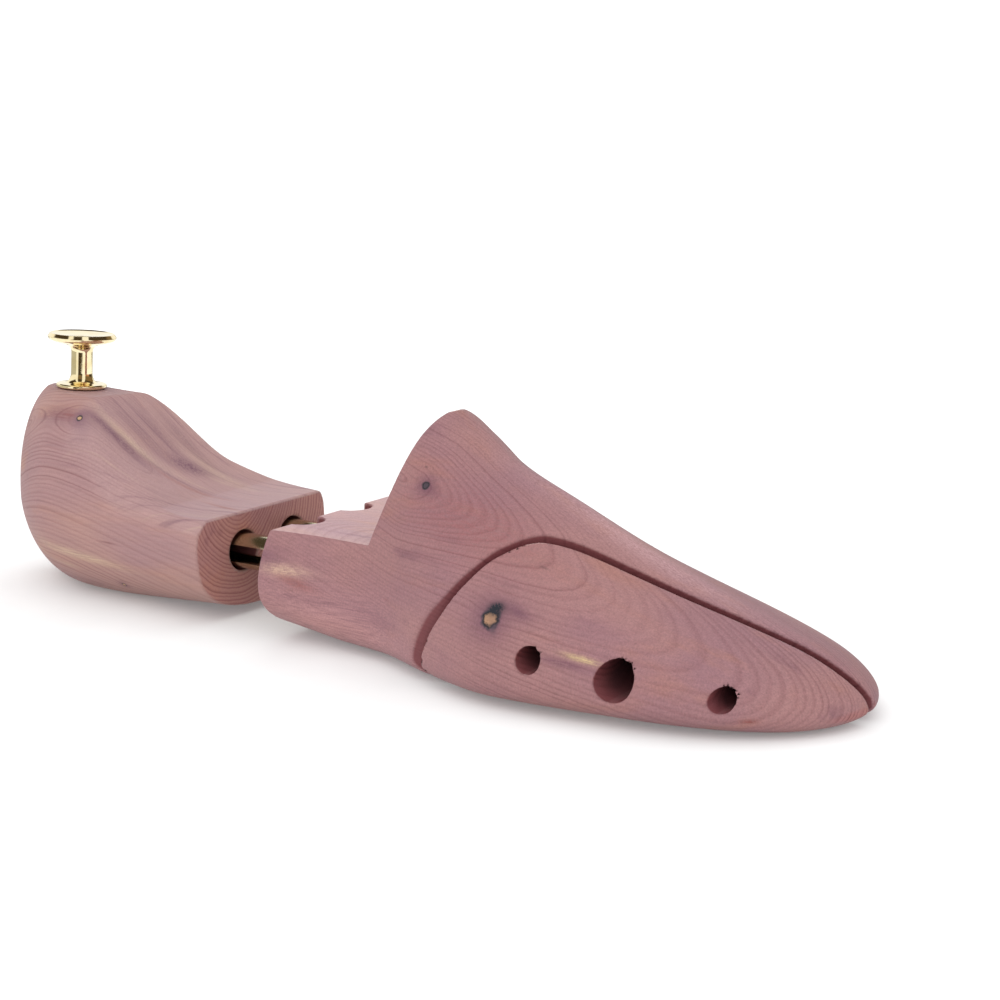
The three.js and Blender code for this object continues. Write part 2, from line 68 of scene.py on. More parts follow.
# ---------- The CAD model's driving dimensions, in mm ----------
HEEL_FRONT = 107.5
FOREPART_REAR = 131.0
SHELF_Z = 32.1
TONGUE_FOOT = 165.9
TONGUE_LEAN = 0.315
FACET_FRONT = 50.9
FACET_Z = 60.9
FACET_TILT = 0.05
FACET_ROLL = 0.045
TUBE_Y = 11.0
TUBE_Z = 20.0
TUBE_OUTER = 5.3
TUBE_INNER = 4.4
TUBE_BACK = 70.0
TUBE_FRONT = 163.0
HEEL_BORE = 6.16
HEEL_BORE_END = 24.0
FIT_GAP = 0.3
SLOT_HALF = 2.5
SLOT_FRONT = 123.0
CROSS_PIN_X = 88.0
CROSS_PIN_RADIUS = SLOT_HALF - FIT_GAP
CROSS_PIN_ENDS = (-20.0, 26.5)
KERF_GAP = 3.0
KERF_LEAN = 0.25
SIDE_REAR = 180.0  # nothing behind this X belongs to the side piece
NOTCH_RADIUS = 5.8
NOTCH_X = FOREPART_REAR + FIT_GAP
NOTCH_FLOOR = TUBE_Z + 2
VENTS = ((227, 14.5, 3.4, -2), (249.6, 12.4, 5.0, -4), (274.5, 10.1, 3.0, -12))  # x, z, radius, end y
GUIDES = (("rear", 237.5, 13, -5.6), ("front", 264, 13, -3))  # name, x, z, y of the block's wall
GUIDE_RADIUS = 2.5
GUIDE_DEPTH = 13.0
GUIDE_REACH = 11.0
POCKET_RADIUS = 5.2
POCKET_DEPTH = 5.0
KNOB_X, KNOB_Y = 33.4, -3.5
STUD_RADIUS = 2.0
STUD_DEPTH = 22.0
KNOB_SEAT = (KNOB_X, KNOB_Y, FACET_Z + (FACET_FRONT - KNOB_X) * FACET_TILT)
KNOB_AXIS = Vector((FACET_TILT, FACET_ROLL, 1)).normalized()
KNOB_SOCKET_DEPTH = 9.0
SCREW_X = 150.0
SCREW_RADIUS = 1.5
SCREW_HEAD_RADIUS = 3.2
SCREW_HEAD_LOW, SCREW_HEAD_HIGH = 0.6, 2.4
SCREW_TIP_Z = 18.0
CAP_FLANGE = 1.6
CAP_SPIGOT = 6.0
SEAT_RADIUS = 5.6
SEAT_THICKNESS = 1.0
HEEL_COIL = (4.3, 0.6, 9)  # radius, wire radius, turns
SIDE_COIL = (3.95, 0.55, 4)

# ---------- Smaller sizes, in mm unless noted ----------
SOLE_EDGE = 1.0
CREST_EDGE = 0.9
CREST_SLOPE = 0.98  # the scooped slope carries on above its crest at this steepness
HEEL_FRONT_EDGE = 0.7
SHELF_CORNER = 0.2
SAW_EDGE = 0.4
HEEL_BORE_EDGE = 0.35
FORE_HOLE_EDGE = 0.3
HOLE_EDGE = 0.25
GUIDE_HOLE_EDGE = 0.2
SLOT_EDGE = 0.12
SCREW_THREAD = (1.0, 0.28)  # pitch and depth
WOOD_THREAD = (1.6, 0.45)
FINE_THREAD = (0.7, 0.22)
GUIDE_SPACE = 6.0  # free room in the side piece beyond a guide pin's tip
OVERSHOOT = 9.0  # how far a drill runs past the surface that it leaves by
OUTSIDE_Y = 60.0  # beyond the widest point on either side
SPLINTER_SIZE = 0.13
SPLINTER_SIDE = 1.0  # the torn side of a drilled hole, as an angle from the toe upwards
THREAD_FLANK = 0.8  # a thread's field, scaled down to measure distance on its sloping flanks
TINY = 1e-9  # keeps a division from failing

# The drawing frame's place in the row frame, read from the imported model.
forepart_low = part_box("forepart_block")[0]
lateral_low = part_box("tube_lateral")[0]
medial_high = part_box("tube_medial")[1]
ORIGIN = np.array(
    [
        forepart_low.x / MM - FOREPART_REAR,
        (lateral_low.y + medial_high.y) / 2 / MM,
        lateral_low.z / MM - (TUBE_Z - TUBE_OUTER),
    ]
)


# ---------- Curves ----------
class Curve:
    """A smooth curve through (at, value) points that never overshoots them: a monotone cubic."""

    def __init__(self, *points):
        self.at, self.value = np.array(points, float).T
        self.step = np.diff(self.at)
        slope = np.diff(self.value) / self.step
        self.tangent = np.concatenate([slope[:1], np.zeros(len(slope) - 1), slope[-1:]])
        for i in range(1, len(slope)):
            if slope[i - 1] * slope[i] > 0:
                before = 2 * self.step[i] + self.step[i - 1]
                after = self.step[i] + 2 * self.step[i - 1]
                mean = before / slope[i - 1] + after / slope[i]
                self.tangent[i] = (before + after) / mean

    def __call__(self, where):
        x = np.clip(where, self.at[0], self.at[-1])
        i = np.clip(np.searchsorted(self.at, x, side="right") - 1, 0, len(self.step) - 1)
        t = (x - self.at[i]) / self.step[i]
        rise = t * t * (3 - 2 * t)
        leave = self.step[i] * self.tangent[i] * t * (1 - t) ** 2
        arrive = self.step[i] * self.tangent[i + 1] * t * t * (t - 1)
        return self.value[i] + (self.value[i + 1] - self.value[i]) * rise + leave + arrive


def end_rounding(along, along_power, size_power):
    """1 at full size, falling to 0 at a rounded end; along is 0 where the rounding starts."""
    s = np.clip(along, 0, 1)
    return np.maximum(0, 1 - s**along_power) ** (1 / size_power)


def between(start, end, share):
    return start + (end - start) * share


def smooth_step(value, low, high):
    t = np.clip((value - low) / (high - low), 0, 1)
    return t * t * (3 - 2 * t)


# ---------- Solids as distance fields: negative inside, positive outside ----------
def meet(a, b, radius):
    """What two solids share, with its new edge rounded."""
    over = np.hypot(np.maximum(a + radius, 0), np.maximum(b + radius, 0))
    return np.minimum(np.maximum(a, b), -radius) + over


def cut(a, b, radius):
    return meet(a, -b, radius)


def rod(axis, p, first, second, radius, start, end):
    """A round bar along an axis, at the given places on the other two axes."""
    a, b = (n for n in range(3) if n != axis)
    round_part = np.hypot(p[a] - first, p[b] - second) - radius
    return np.maximum(round_part, np.maximum(start - p[axis], p[axis] - end))


def ring_ratio(p, section):
    """Distance from a four-quarter super-ellipse's outline, along the ray from its centre."""
    across = p[1] - section["y"]
    up = p[2] - section["z_wide"]
    medial = across >= 0
    width = np.where(medial, section["medial"] - section["y"], section["y"] - section["lateral"])
    top = up >= 0
    height = np.where(top, section["top"] - section["z_wide"], section["z_wide"] - section["bottom"])
    top_power = np.where(medial, section["power_medial"], section["power_lateral"])
    power = np.where(top, top_power, section["power_bottom"])
    least = 1e-3
    across = np.abs(across) + least
    up = np.abs(up) + least
    powers = (across / np.maximum(width, least)) ** power
    powers = powers + (up / np.maximum(height, least)) ** power
    return np.hypot(across, up) * (1 - 1 / powers ** (1 / power))


def true_distance(field, p):
    """field divided by its own slope, so that it measures distance near the surface."""
    step = 0.05
    gentlest, steepest = 0.5, 20
    here = field(p)
    slope = np.zeros_like(here)
    for axis in range(3):
        moved = list(p)
        moved[axis] = p[axis] + step
        slope = slope + ((field(moved) - here) / step) ** 2
    return here / np.clip(np.sqrt(slope), gentlest, steepest)


# ---------- The heel ----------
HEEL_SHAPE = {
    "lateral": Curve((6, -21.6), (45, -32), (75, -31), (107.5, -31.1)),
    "medial": Curve((6, 28.8), (45, 22.3), (75, 26.6), (95, 27.6), (107.5, 26.9)),
    "y": Curve((6, 1.1), (45, -6.2), (80, -0.1), (107.5, 2.5)),
    "top": Curve((6, 59), (28, 64.6), (51, 64.3), (75, 43.6), (107.5, 36.4)),
    "bottom": Curve((6, 0), (60, -0.8), (107.5, 2.6)),
    "z_wide": Curve((6, 28.8), (107.5, 23.3)),
    "power_lateral": Curve((6, 2.03), (50, 1.94), (107.5, 2.64)),
    "power_medial": Curve((6, 1.97), (50, 2.04), (107.5, 3.2)),
    "power_bottom": Curve((6, 1.4), (107.5, 2.82)),
}
HEEL_BACK = (6.3, 0.4, 26.0)
HEEL_PLAN_END = 49.0
HEEL_PROFILE_END = 25.5
SLOPE_Z = Curve(
    (FACET_FRONT, FACET_Z), (60, 51.5), (70, 42.2), (80, 36.3), (90, 33.1), (100, 32), (107.5, 31.8)
)
PLAN_NAMES = ("lateral", "medial", "y")
PROFILE_NAMES = ("top", "bottom", "z_wide")


def heel_section(x):
    back_x, back_y, back_z = HEEL_BACK
    plan = end_rounding((HEEL_PLAN_END - x) / (HEEL_PLAN_END - back_x), 2.1, 1.95)
    profile = end_rounding((HEEL_PROFILE_END - x) / (HEEL_PROFILE_END - back_x), 2.4, 2.2)
    section = {}
    for name, curve in HEEL_SHAPE.items():
        section[name] = curve(x)
        if name in PLAN_NAMES:
            section[name] = between(back_y, section[name], plan)
        elif name in PROFILE_NAMES:
            section[name] = between(back_z, section[name], profile)
    return section


def heel_form(p):
    return np.maximum(ring_ratio(p, heel_section(p[0])), HEEL_BACK[0] - p[0])


def from_knob_seat(p):
    """Height above the plane that the knob sits on, and distance from the knob's axis."""
    offset = [p[n] - KNOB_SEAT[n] for n in range(3)]
    height = sum(offset[n] * KNOB_AXIS[n] for n in range(3))
    square = sum(offset[n] ** 2 for n in range(3))
    return height, np.sqrt(np.maximum(square - height**2, 0))


def heel_hull(p):
    """The heel block's outside, before any hole is drilled."""
    x, y, z = p
    body = true_distance(heel_form, p)
    bent = np.maximum(x, FACET_FRONT)
    scoop_z = SLOPE_Z(bent) + (bent - x) * CREST_SLOPE
    steepness = SLOPE_Z(bent + 0.5) - SLOPE_Z(bent - 0.5)
    steepness = np.where(x > FACET_FRONT, steepness, -CREST_SLOPE)
    scoop = (z - scoop_z) / np.sqrt(1 + steepness**2)
    facet, _ = from_knob_seat(p)
    top = meet(facet, scoop, CREST_EDGE)
    crisp, soft = 0.8, 3.0  # the slope's lateral edge is softest halfway down
    lateral_ridge = between(soft, crisp, np.abs(smooth_step(x, 40, 100) * 2 - 1) ** 2)
    ridge = between(lateral_ridge, crisp, smooth_step(y, -14, 6))
    hull = meet(body, top, ridge)
    hull = meet(hull, x - HEEL_FRONT, HEEL_FRONT_EDGE)
    return meet(hull, -z, SOLE_EDGE)


def heel_wood(p):
    hull = heel_hull(p)
    wood = hull
    for side in (-1, 1):
        bore = rod(X, p, side * TUBE_Y, TUBE_Z, HEEL_BORE, HEEL_BORE_END, HEEL_FRONT + OVERSHOOT)
        wood = cut(wood, bore, HEEL_BORE_EDGE)
    pin_hole = rod(Y, p, CROSS_PIN_X, TUBE_Z, SLOT_HALF, CROSS_PIN_ENDS[0] - FIT_GAP, OUTSIDE_Y)
    height, from_axis = from_knob_seat(p)
    stud_hole = np.maximum(from_axis - STUD_RADIUS - FIT_GAP, -height - STUD_DEPTH - FIT_GAP)
    wood = cut(wood, pin_hole, HOLE_EDGE)
    return cut(wood, stud_hole, HOLE_EDGE), hull


# ---------- The forepart ----------
FORE_SHAPE = {
    "lateral": Curve((131, 34.8), (150, 30.8), (168, 29.5), (190, 36), (215, 41.5), (245, 39.5)),
    "medial": Curve((131, 30.5), (168, 31.5), (215, 37.5), (245, 40.5)),
    "y": Curve((131, 2.8), (177, 0.2), (215, -1.9), (300, -0.5)),
    "top": Curve(
        (131, 49), (150, 53), (166, 61), (176.5, 67.2), (185, 62.9), (195, 56),
        (215, 47.2), (240, 35), (270, 23.3), (300, 12.2),
    ),
    "bottom": Curve((131, 1.6), (155, -0.8), (275, -0.8), (300, 0)),
    "z_wide": Curve((131, 17.8), (180, 9), (240, 9), (300, 5.5)),
    "power_lateral": Curve((131, 1.68), (177, 2.1), (215, 1.7), (300, 1.9)),
    "power_medial": Curve((131, 2.6), (177, 1.75), (215, 1.32), (300, 1.5)),
    "power_bottom": Curve((131, 2.4), (200, 3.1), (300, 2.5)),
}
TOE_X = 300.0
TOE_Z = 4.8
TOE_PLAN_START = 233.7
TOE_PROFILE_START = 280.0
KERF_Y = Curve(
    (180, -44), (186, -34), (192, -31.8), (198, -29.8), (204, -25), (210, -17.5),
    (219, -8.3), (231, -4.6), (257, -2), (282, 0.8), (305, 1.8),
)


def fore_section(x):
    plan = end_rounding((x - TOE_PLAN_START) / (TOE_X - TOE_PLAN_START), 2.2, 1.85)
    profile = end_rounding((x - TOE_PROFILE_START) / (TOE_X - TOE_PROFILE_START), 2.6, 2.2)
    section = {name: curve(x) for name, curve in FORE_SHAPE.items()}
    section["lateral"] = section["y"] - section["lateral"] * plan
    section["medial"] = section["y"] + section["medial"] * plan
    for name in PROFILE_NAMES:
        section[name] = between(TOE_Z, section[name], profile)
    return section


def fore_form(p):
    return np.maximum(ring_ratio(p, fore_section(p[0])), p[0] - TOE_X)


def fore_hull(p):
    x, _, z = p
    body = true_distance(fore_form, p)
    behind = (x - TONGUE_FOOT - (z - SHELF_Z) * TONGUE_LEAN) / math.hypot(1, TONGUE_LEAN)
    above_shelf = meet(SHELF_Z - z, behind, SHELF_CORNER)
    tip_softness = between(0.6, 1.4, smooth_step(z, 60, 67))
    hull = cut(body, above_shelf, tip_softness)
    rear_softness = between(0.8, 2.5, smooth_step(-z, -14, 0))
    hull = meet(hull, FOREPART_REAR - x, rear_softness)
    return meet(hull, -z, SOLE_EDGE)


def kerf_distance(p, shift):
    """How far a point is on the lateral side of the saw cut's wall; negative on the medial side."""
    x, y, z = p
    wall = KERF_Y(x) + shift - KERF_LEAN * z
    steepness = KERF_Y(x + 0.5) - KERF_Y(x - 0.5)
    return (wall - y) / np.sqrt(1 + KERF_LEAN**2 + steepness**2)


def ragged(p, x, z):
    """Splinters that the drill leaves on one side of a hole."""
    angle = np.arctan2(p[2] - z, p[0] - x)
    torn = smooth_step(np.cos(angle - SPLINTER_SIDE), 0.8, 0.98)
    coarse = np.sin(11 * angle + x)
    fine = 0.4 * np.sin(23 * angle)
    return torn * (coarse + fine) * SPLINTER_SIZE


def drill_vents(wood, p):
    for x, z, radius, end_y in VENTS:
        near_surface = smooth_step(-p[1], 10, 24)
        vent = rod(Y, p, x, z, radius, -OUTSIDE_Y, end_y) - ragged(p, x, z) * near_surface
        wood = cut(wood, vent, HOLE_EDGE)
    return wood


def forepart_wood(p):
    hull = fore_hull(p)
    wood = meet(hull, kerf_distance(p, 0), SAW_EDGE)
    for side in (-1, 1):
        y = side * TUBE_Y
        rear = FOREPART_REAR - OVERSHOOT
        bore = rod(X, p, y, TUBE_Z, TUBE_OUTER + FIT_GAP, rear, TUBE_FRONT + FIT_GAP)
        notch = rod(Z, p, NOTCH_X, y, NOTCH_RADIUS, NOTCH_FLOOR, SHELF_Z + OVERSHOOT)
        shank = rod(Z, p, SCREW_X, y, SCREW_RADIUS + FIT_GAP, -OVERSHOOT, TUBE_Z)
        head_radius, head_top = SCREW_HEAD_RADIUS + FIT_GAP, SCREW_HEAD_HIGH + FIT_GAP
        recess = rod(Z, p, SCREW_X, y, head_radius, -OVERSHOOT, head_top)
        for hole in (bore, notch, shank, recess):
            wood = cut(wood, hole, FORE_HOLE_EDGE)
    for _, x, z, wall_y in GUIDES:
        outer, depth = wall_y - OVERSHOOT, wall_y + GUIDE_DEPTH + FIT_GAP
        hole = rod(Y, p, x, z, GUIDE_RADIUS + FIT_GAP, outer, depth)
        pocket = rod(Y, p, x, z, POCKET_RADIUS, outer, wall_y + POCKET_DEPTH)
        wood = cut(cut(wood, hole, GUIDE_HOLE_EDGE), pocket, FORE_HOLE_EDGE)
    return drill_vents(wood, p), hull


def side_wood(p):
    hull = fore_hull(p)
    wood = meet(hull, -kerf_distance(p, -KERF_GAP), SAW_EDGE)
    wood = np.maximum(wood, SIDE_REAR - p[0])
    for _, x, z, wall_y in GUIDES:
        inner = wall_y - KERF_GAP
        end = inner - GUIDE_REACH - GUIDE_SPACE
        hole = rod(Y, p, x, z, GUIDE_RADIUS + FIT_GAP, end, inner + OVERSHOOT)
        pocket = rod(Y, p, x, z, POCKET_RADIUS, inner - POCKET_DEPTH, inner + OVERSHOOT)
        wood = cut(cut(wood, hole, GUIDE_HOLE_EDGE), pocket, FORE_HOLE_EDGE)
    return drill_vents(wood, p), hull


# ---------- Fittings with slots and threads ----------
def tube_metal(p, y):
    """A tube with a long slot through both its walls, and a hole below for the lock screw."""
    bar = rod(X, p, y, TUBE_Z, TUBE_OUTER, TUBE_BACK, TUBE_FRONT)
    bar = meet(bar, TUBE_BACK - p[0], 0.2)
    hollow = rod(X, p, y, TUBE_Z, TUBE_INNER, TUBE_BACK - OVERSHOOT, TUBE_FRONT + OVERSHOOT)
    tube = cut(bar, hollow, 0.1)
    along = np.clip(p[0], CROSS_PIN_X, SLOT_FRONT)
    slot = np.hypot(p[0] - along, p[2] - TUBE_Z) - SLOT_HALF
    below = TUBE_Z - TUBE_OUTER - OVERSHOOT
    screw_hole = rod(Z, p, SCREW_X, y, SCREW_RADIUS + FIT_GAP, below, TUBE_Z)
    return cut(cut(tube, slot, SLOT_EDGE), screw_hole, SLOT_EDGE)


def thread_radius(height, turn, radius, pitch, depth):
    """The radius of a right-hand thread, from the height and the angle round its axis."""
    ridge = np.abs(((height / pitch - turn / (2 * math.pi)) % 1) * 2 - 1)
    return radius - depth * (1 - ridge)


def lock_screw_metal(p, y):
    """A pan-head screw that points up into a tube, with a cross recess in its head."""
    from_axis = np.hypot(p[0] - SCREW_X, p[1] - y)
    turn = np.arctan2(p[1] - y, p[0] - SCREW_X)
    thread = thread_radius(p[2], turn, SCREW_RADIUS, *SCREW_THREAD)
    point_slope, head_edge = 0.8, 0.5
    thread = np.minimum(thread, (SCREW_TIP_Z - p[2]) * point_slope)
    shank = np.maximum(from_axis - thread, SCREW_HEAD_LOW + 1 - p[2]) * THREAD_FLANK
    under = SCREW_HEAD_LOW - OVERSHOOT
    head = rod(Z, p, SCREW_X, y, SCREW_HEAD_RADIUS, under, SCREW_HEAD_HIGH)
    head = meet(head, SCREW_HEAD_LOW - p[2], head_edge)
    wing, narrow, deep = 1.9, 0.42, SCREW_HEAD_LOW + 1.1
    for a, b in ((p[0] - SCREW_X, p[1] - y), (p[1] - y, p[0] - SCREW_X)):
        arm = np.maximum(np.maximum(np.abs(a) - wing, np.abs(b) - narrow), p[2] - deep)
        head = cut(head, arm, 0.05)
    return np.minimum(head, shank)


def stud_metal(p):
    """A hanger bolt on the knob's axis: a pointed wood thread below, a fine thread above."""
    height, from_axis = from_knob_seat(p)
    middle = [KNOB_SEAT[n] + height * KNOB_AXIS[n] for n in range(2)]
    turn = np.arctan2(p[1] - middle[1], p[0] - middle[0])
    coarse = thread_radius(height, turn, STUD_RADIUS, *WOOD_THREAD)
    fine = thread_radius(height, turn, STUD_RADIUS, *FINE_THREAD)
    plain_from, plain_to, point_slope, top_edge = -3, -1, 0.35, 0.4
    thread = np.where(height < plain_from, coarse, np.where(height < plain_to, STUD_RADIUS, fine))
    thread = np.minimum(thread, (height + STUD_DEPTH) * point_slope)
    top = height - (KNOB_SOCKET_DEPTH - FIT_GAP)
    return meet((from_axis - thread) * THREAD_FLANK, top, top_edge)


# ---------- Surfaces found on a grid ----------
def slope_of(field, points, step=0.02):
    """The field's value and gradient at scattered points."""
    value = field(points.T)
    gradient = np.empty_like(points)
    for axis in range(3):
        moved = points.copy()
        moved[:, axis] += step
        gradient[:, axis] = (field(moved.T) - value) / step
    return value, gradient


def unit(vectors):
    return vectors / np.maximum(np.linalg.norm(vectors, axis=1), TINY)[:, None]


def crossed_edges(values):
    """The grid edges that cross the surface: their axis, start, share to the crossing and way out."""
    inside = values < 0
    for axis in range(3):
        size = values.shape[axis]
        near = np.take(inside, range(size - 1), axis)
        far = np.take(inside, range(1, size), axis)
        where = np.argwhere(near != far)
        ahead = where.copy()
        ahead[:, axis] += 1
        a, b = values[tuple(where.T)], values[tuple(ahead.T)]
        yield axis, where, a / (a - b), a < 0


def surface_net(field, values, low, step):
    """One vertex in each grid cell that the surface crosses, one quad round each crossed edge.

    A vertex goes where the planes that touch the surface at its cell's crossings meet, so sharp
    edges and corners stay sharp.
    """
    shape = np.array(values.shape)
    cells, crossings, normals, quads = [], [], [], []
    for axis, where, share, leaves in crossed_edges(values):
        place = where.astype(float)
        place[:, axis] += share
        place = low + place * step
        normal = unit(slope_of(field, place)[1])
        other = [n for n in range(3) if n != axis]
        around = []
        for back in ((0, 0), (1, 0), (1, 1), (0, 1)):
            cell = where.copy()
            cell[:, other] -= back
            around.append(np.ravel_multi_index(cell.T, shape))
        cells.extend(around)
        crossings.extend([place] * 4)
        normals.extend([normal] * 4)
        quad = np.stack(around, axis=1)
        turn = leaves if axis != 1 else ~leaves
        quad[~turn] = quad[~turn][:, ::-1]
        quads.append(quad)
    cell, number = np.unique(np.concatenate(cells), return_inverse=True)
    crossing, normal = np.concatenate(crossings), np.concatenate(normals)
    count = np.bincount(number).astype(float)

    def per_cell(amount):
        return np.bincount(number, amount) / count

    middle = np.stack([per_cell(crossing[:, n]) for n in range(3)], axis=1)
    reach = ((crossing - middle[number]) * normal).sum(1)
    matrix = np.empty((len(cell), 3, 3))
    pull = np.empty((len(cell), 3))
    looseness = 0.04
    for row in range(3):
        pull[:, row] = per_cell(normal[:, row] * reach)
        for column in range(3):
            matrix[:, row, column] = per_cell(normal[:, row] * normal[:, column])
        matrix[:, row, row] += looseness
    offset = np.linalg.solve(matrix, pull[:, :, None])[:, :, 0]
    corner = low + np.stack(np.unravel_index(cell, shape), axis=1) * step
    points = np.clip(middle + offset, corner, corner + step)
    agreement = np.sqrt(sum(per_cell(normal[:, n]) ** 2 for n in range(3)))
    freedom = smooth_step(agreement, 0.97, 0.995)  # 0 where an edge runs through the cell
    return points, np.searchsorted(cell, np.concatenate(quads)), freedom


def settle(field, points, quads, freedom, step):
    """Evens the vertices out along smooth surfaces, and puts them all exactly on the surface."""
    count = np.bincount(quads.ravel(), minlength=len(points)) * 2.0
    for spread in (0.5, 0.5, 0.5, 0, 0):
        if spread:
            total = np.zeros_like(points)
            for turn in (1, 3):
                other = points[np.roll(quads, turn, axis=1).ravel()]
                for n in range(3):
                    total[:, n] += np.bincount(quads.ravel(), other[:, n], len(points))
            even = total / count[:, None]
            points = between(points, even, (spread * freedom)[:, None])
        value, gradient = slope_of(field, points)
        least_square = 0.25
        square = np.maximum((gradient**2).sum(1), least_square)
        move = -(value / square)[:, None] * gradient
        length = np.linalg.norm(move, axis=1)
        points = points + move * np.minimum(1, 0.5 * step / np.maximum(length, TINY))[:, None]
    return points


def mesh_from(name, points, faces, normals):
    mesh = bpy.data.meshes.new(name)
    placed = (points + ORIGIN) * MM
    mesh.from_pydata(placed.tolist(), [], faces)
    mesh.polygons.foreach_set("use_smooth", np.ones(len(faces), bool))
    mesh.normals_split_custom_set_from_vertices(normals.tolist())
    mesh.update()
    piece = bpy.data.objects.new(name, mesh)
    bpy.context.scene.collection.objects.link(piece)
    return piece


def shape_from_field(name, node, field, step):
    """The mesh of a solid, within its CAD node's box, and the mesh's points."""
    low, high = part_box(node)
    low = np.array(low) / MM - ORIGIN
    high = np.array(high) / MM - ORIGIN
    margin = 2.37  # grid steps round the box; an odd share keeps flat faces off the grid's planes
    start = low - margin * step
    axes = [start[n] + step * np.arange(int((high[n] - start[n]) / step) + 4) for n in range(3)]
    grid = np.meshgrid(*axes, indexing="ij", sparse=True)
    values = np.broadcast_to(field(grid), [len(a) for a in axes])
    points, quads, freedom = surface_net(field, values, start, step)
    points = settle(field, points, quads, freedom, step)
    points = np.clip(points, low, high)
    normals = unit(slope_of(field, points, 0.1 * step)[1])
    return mesh_from(name, points, quads.tolist(), normals), points


def wood_shape(name, node, solid):
    """A wooden block. Its vertices know how deep in the uncut block they are, for the colour of cut
    faces and the painted shade in cuts and holes.
    """
    piece, points = shape_from_field(name, node, lambda p: solid(p)[0], WOOD_STEP)
    depth = piece.data.attributes.new("depth", "FLOAT", "POINT")
    depth.data.foreach_set("value", -solid(points.T)[1])
    return piece


# ---------- Turned pieces ----------
def axis_frame(axis):
    """The axis and two directions square to it, each a unit vector."""
    along = np.array(axis, float) / np.linalg.norm(axis)
    other = np.array([0, 0, 1.0]) if abs(along[2]) < 0.9 else np.array([0, 1.0, 0])
    first = np.cross(other, along)
    first /= np.linalg.norm(first)
    return along, first, np.cross(along, first)


def rounded(corners, closed):
    """Points, and the way the outline runs at each, for (radius, height, rounding) corners."""
    corners = np.array(corners, float)
    place, rounding = corners[:, :2], corners[:, 2]
    points, ways = [], []
    for i, corner in enumerate(place):
        back = place[i - 1] - corner
        ahead = place[(i + 1) % len(place)] - corner
        is_end = not closed and i in (0, len(place) - 1)
        if is_end:
            points.append(corner)
            ways.append(ahead if i == 0 else -back)
            continue
        back_length, ahead_length = np.linalg.norm(back), np.linalg.norm(ahead)
        reach = min(rounding[i], 0.48 * back_length, 0.48 * ahead_length)
        start = corner + back * reach / back_length
        end = corner + ahead * reach / ahead_length
        for t in np.linspace(0, 1, ARC_STEPS + 1):
            points.append(start * (1 - t) ** 2 + corner * 2 * t * (1 - t) + end * t**2)
            ways.append(between(corner - start, end - corner, t))
    return np.array(points), unit(np.array(ways))


def turned(name, corners, base, axis, closed=False):
    """A solid turned about an axis. Its outline runs out below, up outside and back in on top.

    An open outline starts and ends on the axis; a closed one makes a ring.
    """
    outline, way = rounded(corners, closed)
    along, first, second = axis_frame(axis)
    angle = np.linspace(0, 2 * math.pi, TURN_SIDES, endpoint=False)
    outward = np.outer(np.cos(angle), first) + np.outer(np.sin(angle), second)
    points = outline[:, :1, None] * outward + outline[:, 1:, None] * along + np.array(base, float)
    normals = way[:, 1:, None] * outward - way[:, :1, None] * along
    points, normals = points.reshape(-1, 3), normals.reshape(-1, 3)
    rings = len(outline)

    def number(ring, side):
        at_pole = not closed and ring in (0, rings - 1)
        return (ring % rings) * TURN_SIDES + (0 if at_pole else side % TURN_SIDES)

    faces = []
    for ring in range(rings if closed else rings - 1):
        for side in range(TURN_SIDES):
            face = [number(ring, side), number(ring, side + 1)]
            face += [number(ring + 1, side + 1), number(ring + 1, side)]
            faces.append(list(dict.fromkeys(face)))
    used = np.unique(np.concatenate(faces))
    faces = [np.searchsorted(used, face).tolist() for face in faces]
    return mesh_from(name, points[used], faces, normals[used])


def coil(name, start, end, radius, wire, turns, closed_turns):
    """A round-wire compression spring. Its first and last turns lie close together."""
    start, end = np.array(start, float), np.array(end, float)
    along, first, second = axis_frame(end - start)
    length = np.linalg.norm(end - start)
    closed_length = (2 * wire + 0.1) * closed_turns
    open_end = (turns - closed_turns, length - closed_length)
    lead = Curve((0, 0), (closed_turns, closed_length), open_end, (turns, length))
    turn = np.linspace(0, turns, int(turns * COIL_STEPS) + 1)
    angle = 2 * math.pi * turn[:, None]
    outward = np.cos(angle) * first + np.sin(angle) * second
    centre = start + lead(turn)[:, None] * along + radius * outward
    tangent = unit(np.gradient(centre, axis=0))
    upward = unit(np.cross(tangent, outward))
    spin = np.linspace(0, 2 * math.pi, WIRE_SIDES, endpoint=False)
    # Each ring of points: its place along the wire, how far past it, and its size. The ends taper.
    rows = [(0, -0.6, 0.5), (0, -0.4, 0.85)]
    rows += [(row, 0, 1) for row in range(len(turn))]
    rows += [(-1, 0.4, 0.85), (-1, 0.6, 0.5)]
    points, normals = [], []
    for row, push, size in rows:
        across = np.outer(np.cos(spin), outward[row]) + np.outer(np.sin(spin), upward[row])
        points.append(centre[row] + push * wire * 0.5 * tangent[row] + across * wire * size)
        normals.append(across + 2 * push * tangent[row])
    numbers = np.arange(len(rows) * WIRE_SIDES).reshape(-1, WIRE_SIDES)
    beside = np.roll(numbers, -1, axis=1)
    quads = np.stack([numbers[:-1], beside[:-1], beside[1:], numbers[1:]], axis=2)
    faces = quads.reshape(-1, 4).tolist()
    faces += [numbers[0, ::-1].tolist(), numbers[-1].tolist()]
    return mesh_from(name, np.concatenate(points), faces, unit(np.concatenate(normals)))


# ---------- Node graphs ----------
def srgb(red, green, blue):
    """A colour given as 0 to 255 display values, in linear light."""
    shares = (red / 255, green / 255, blue / 255)
    return tuple(((share + 0.055) / 1.055) ** 2.4 for share in shares)


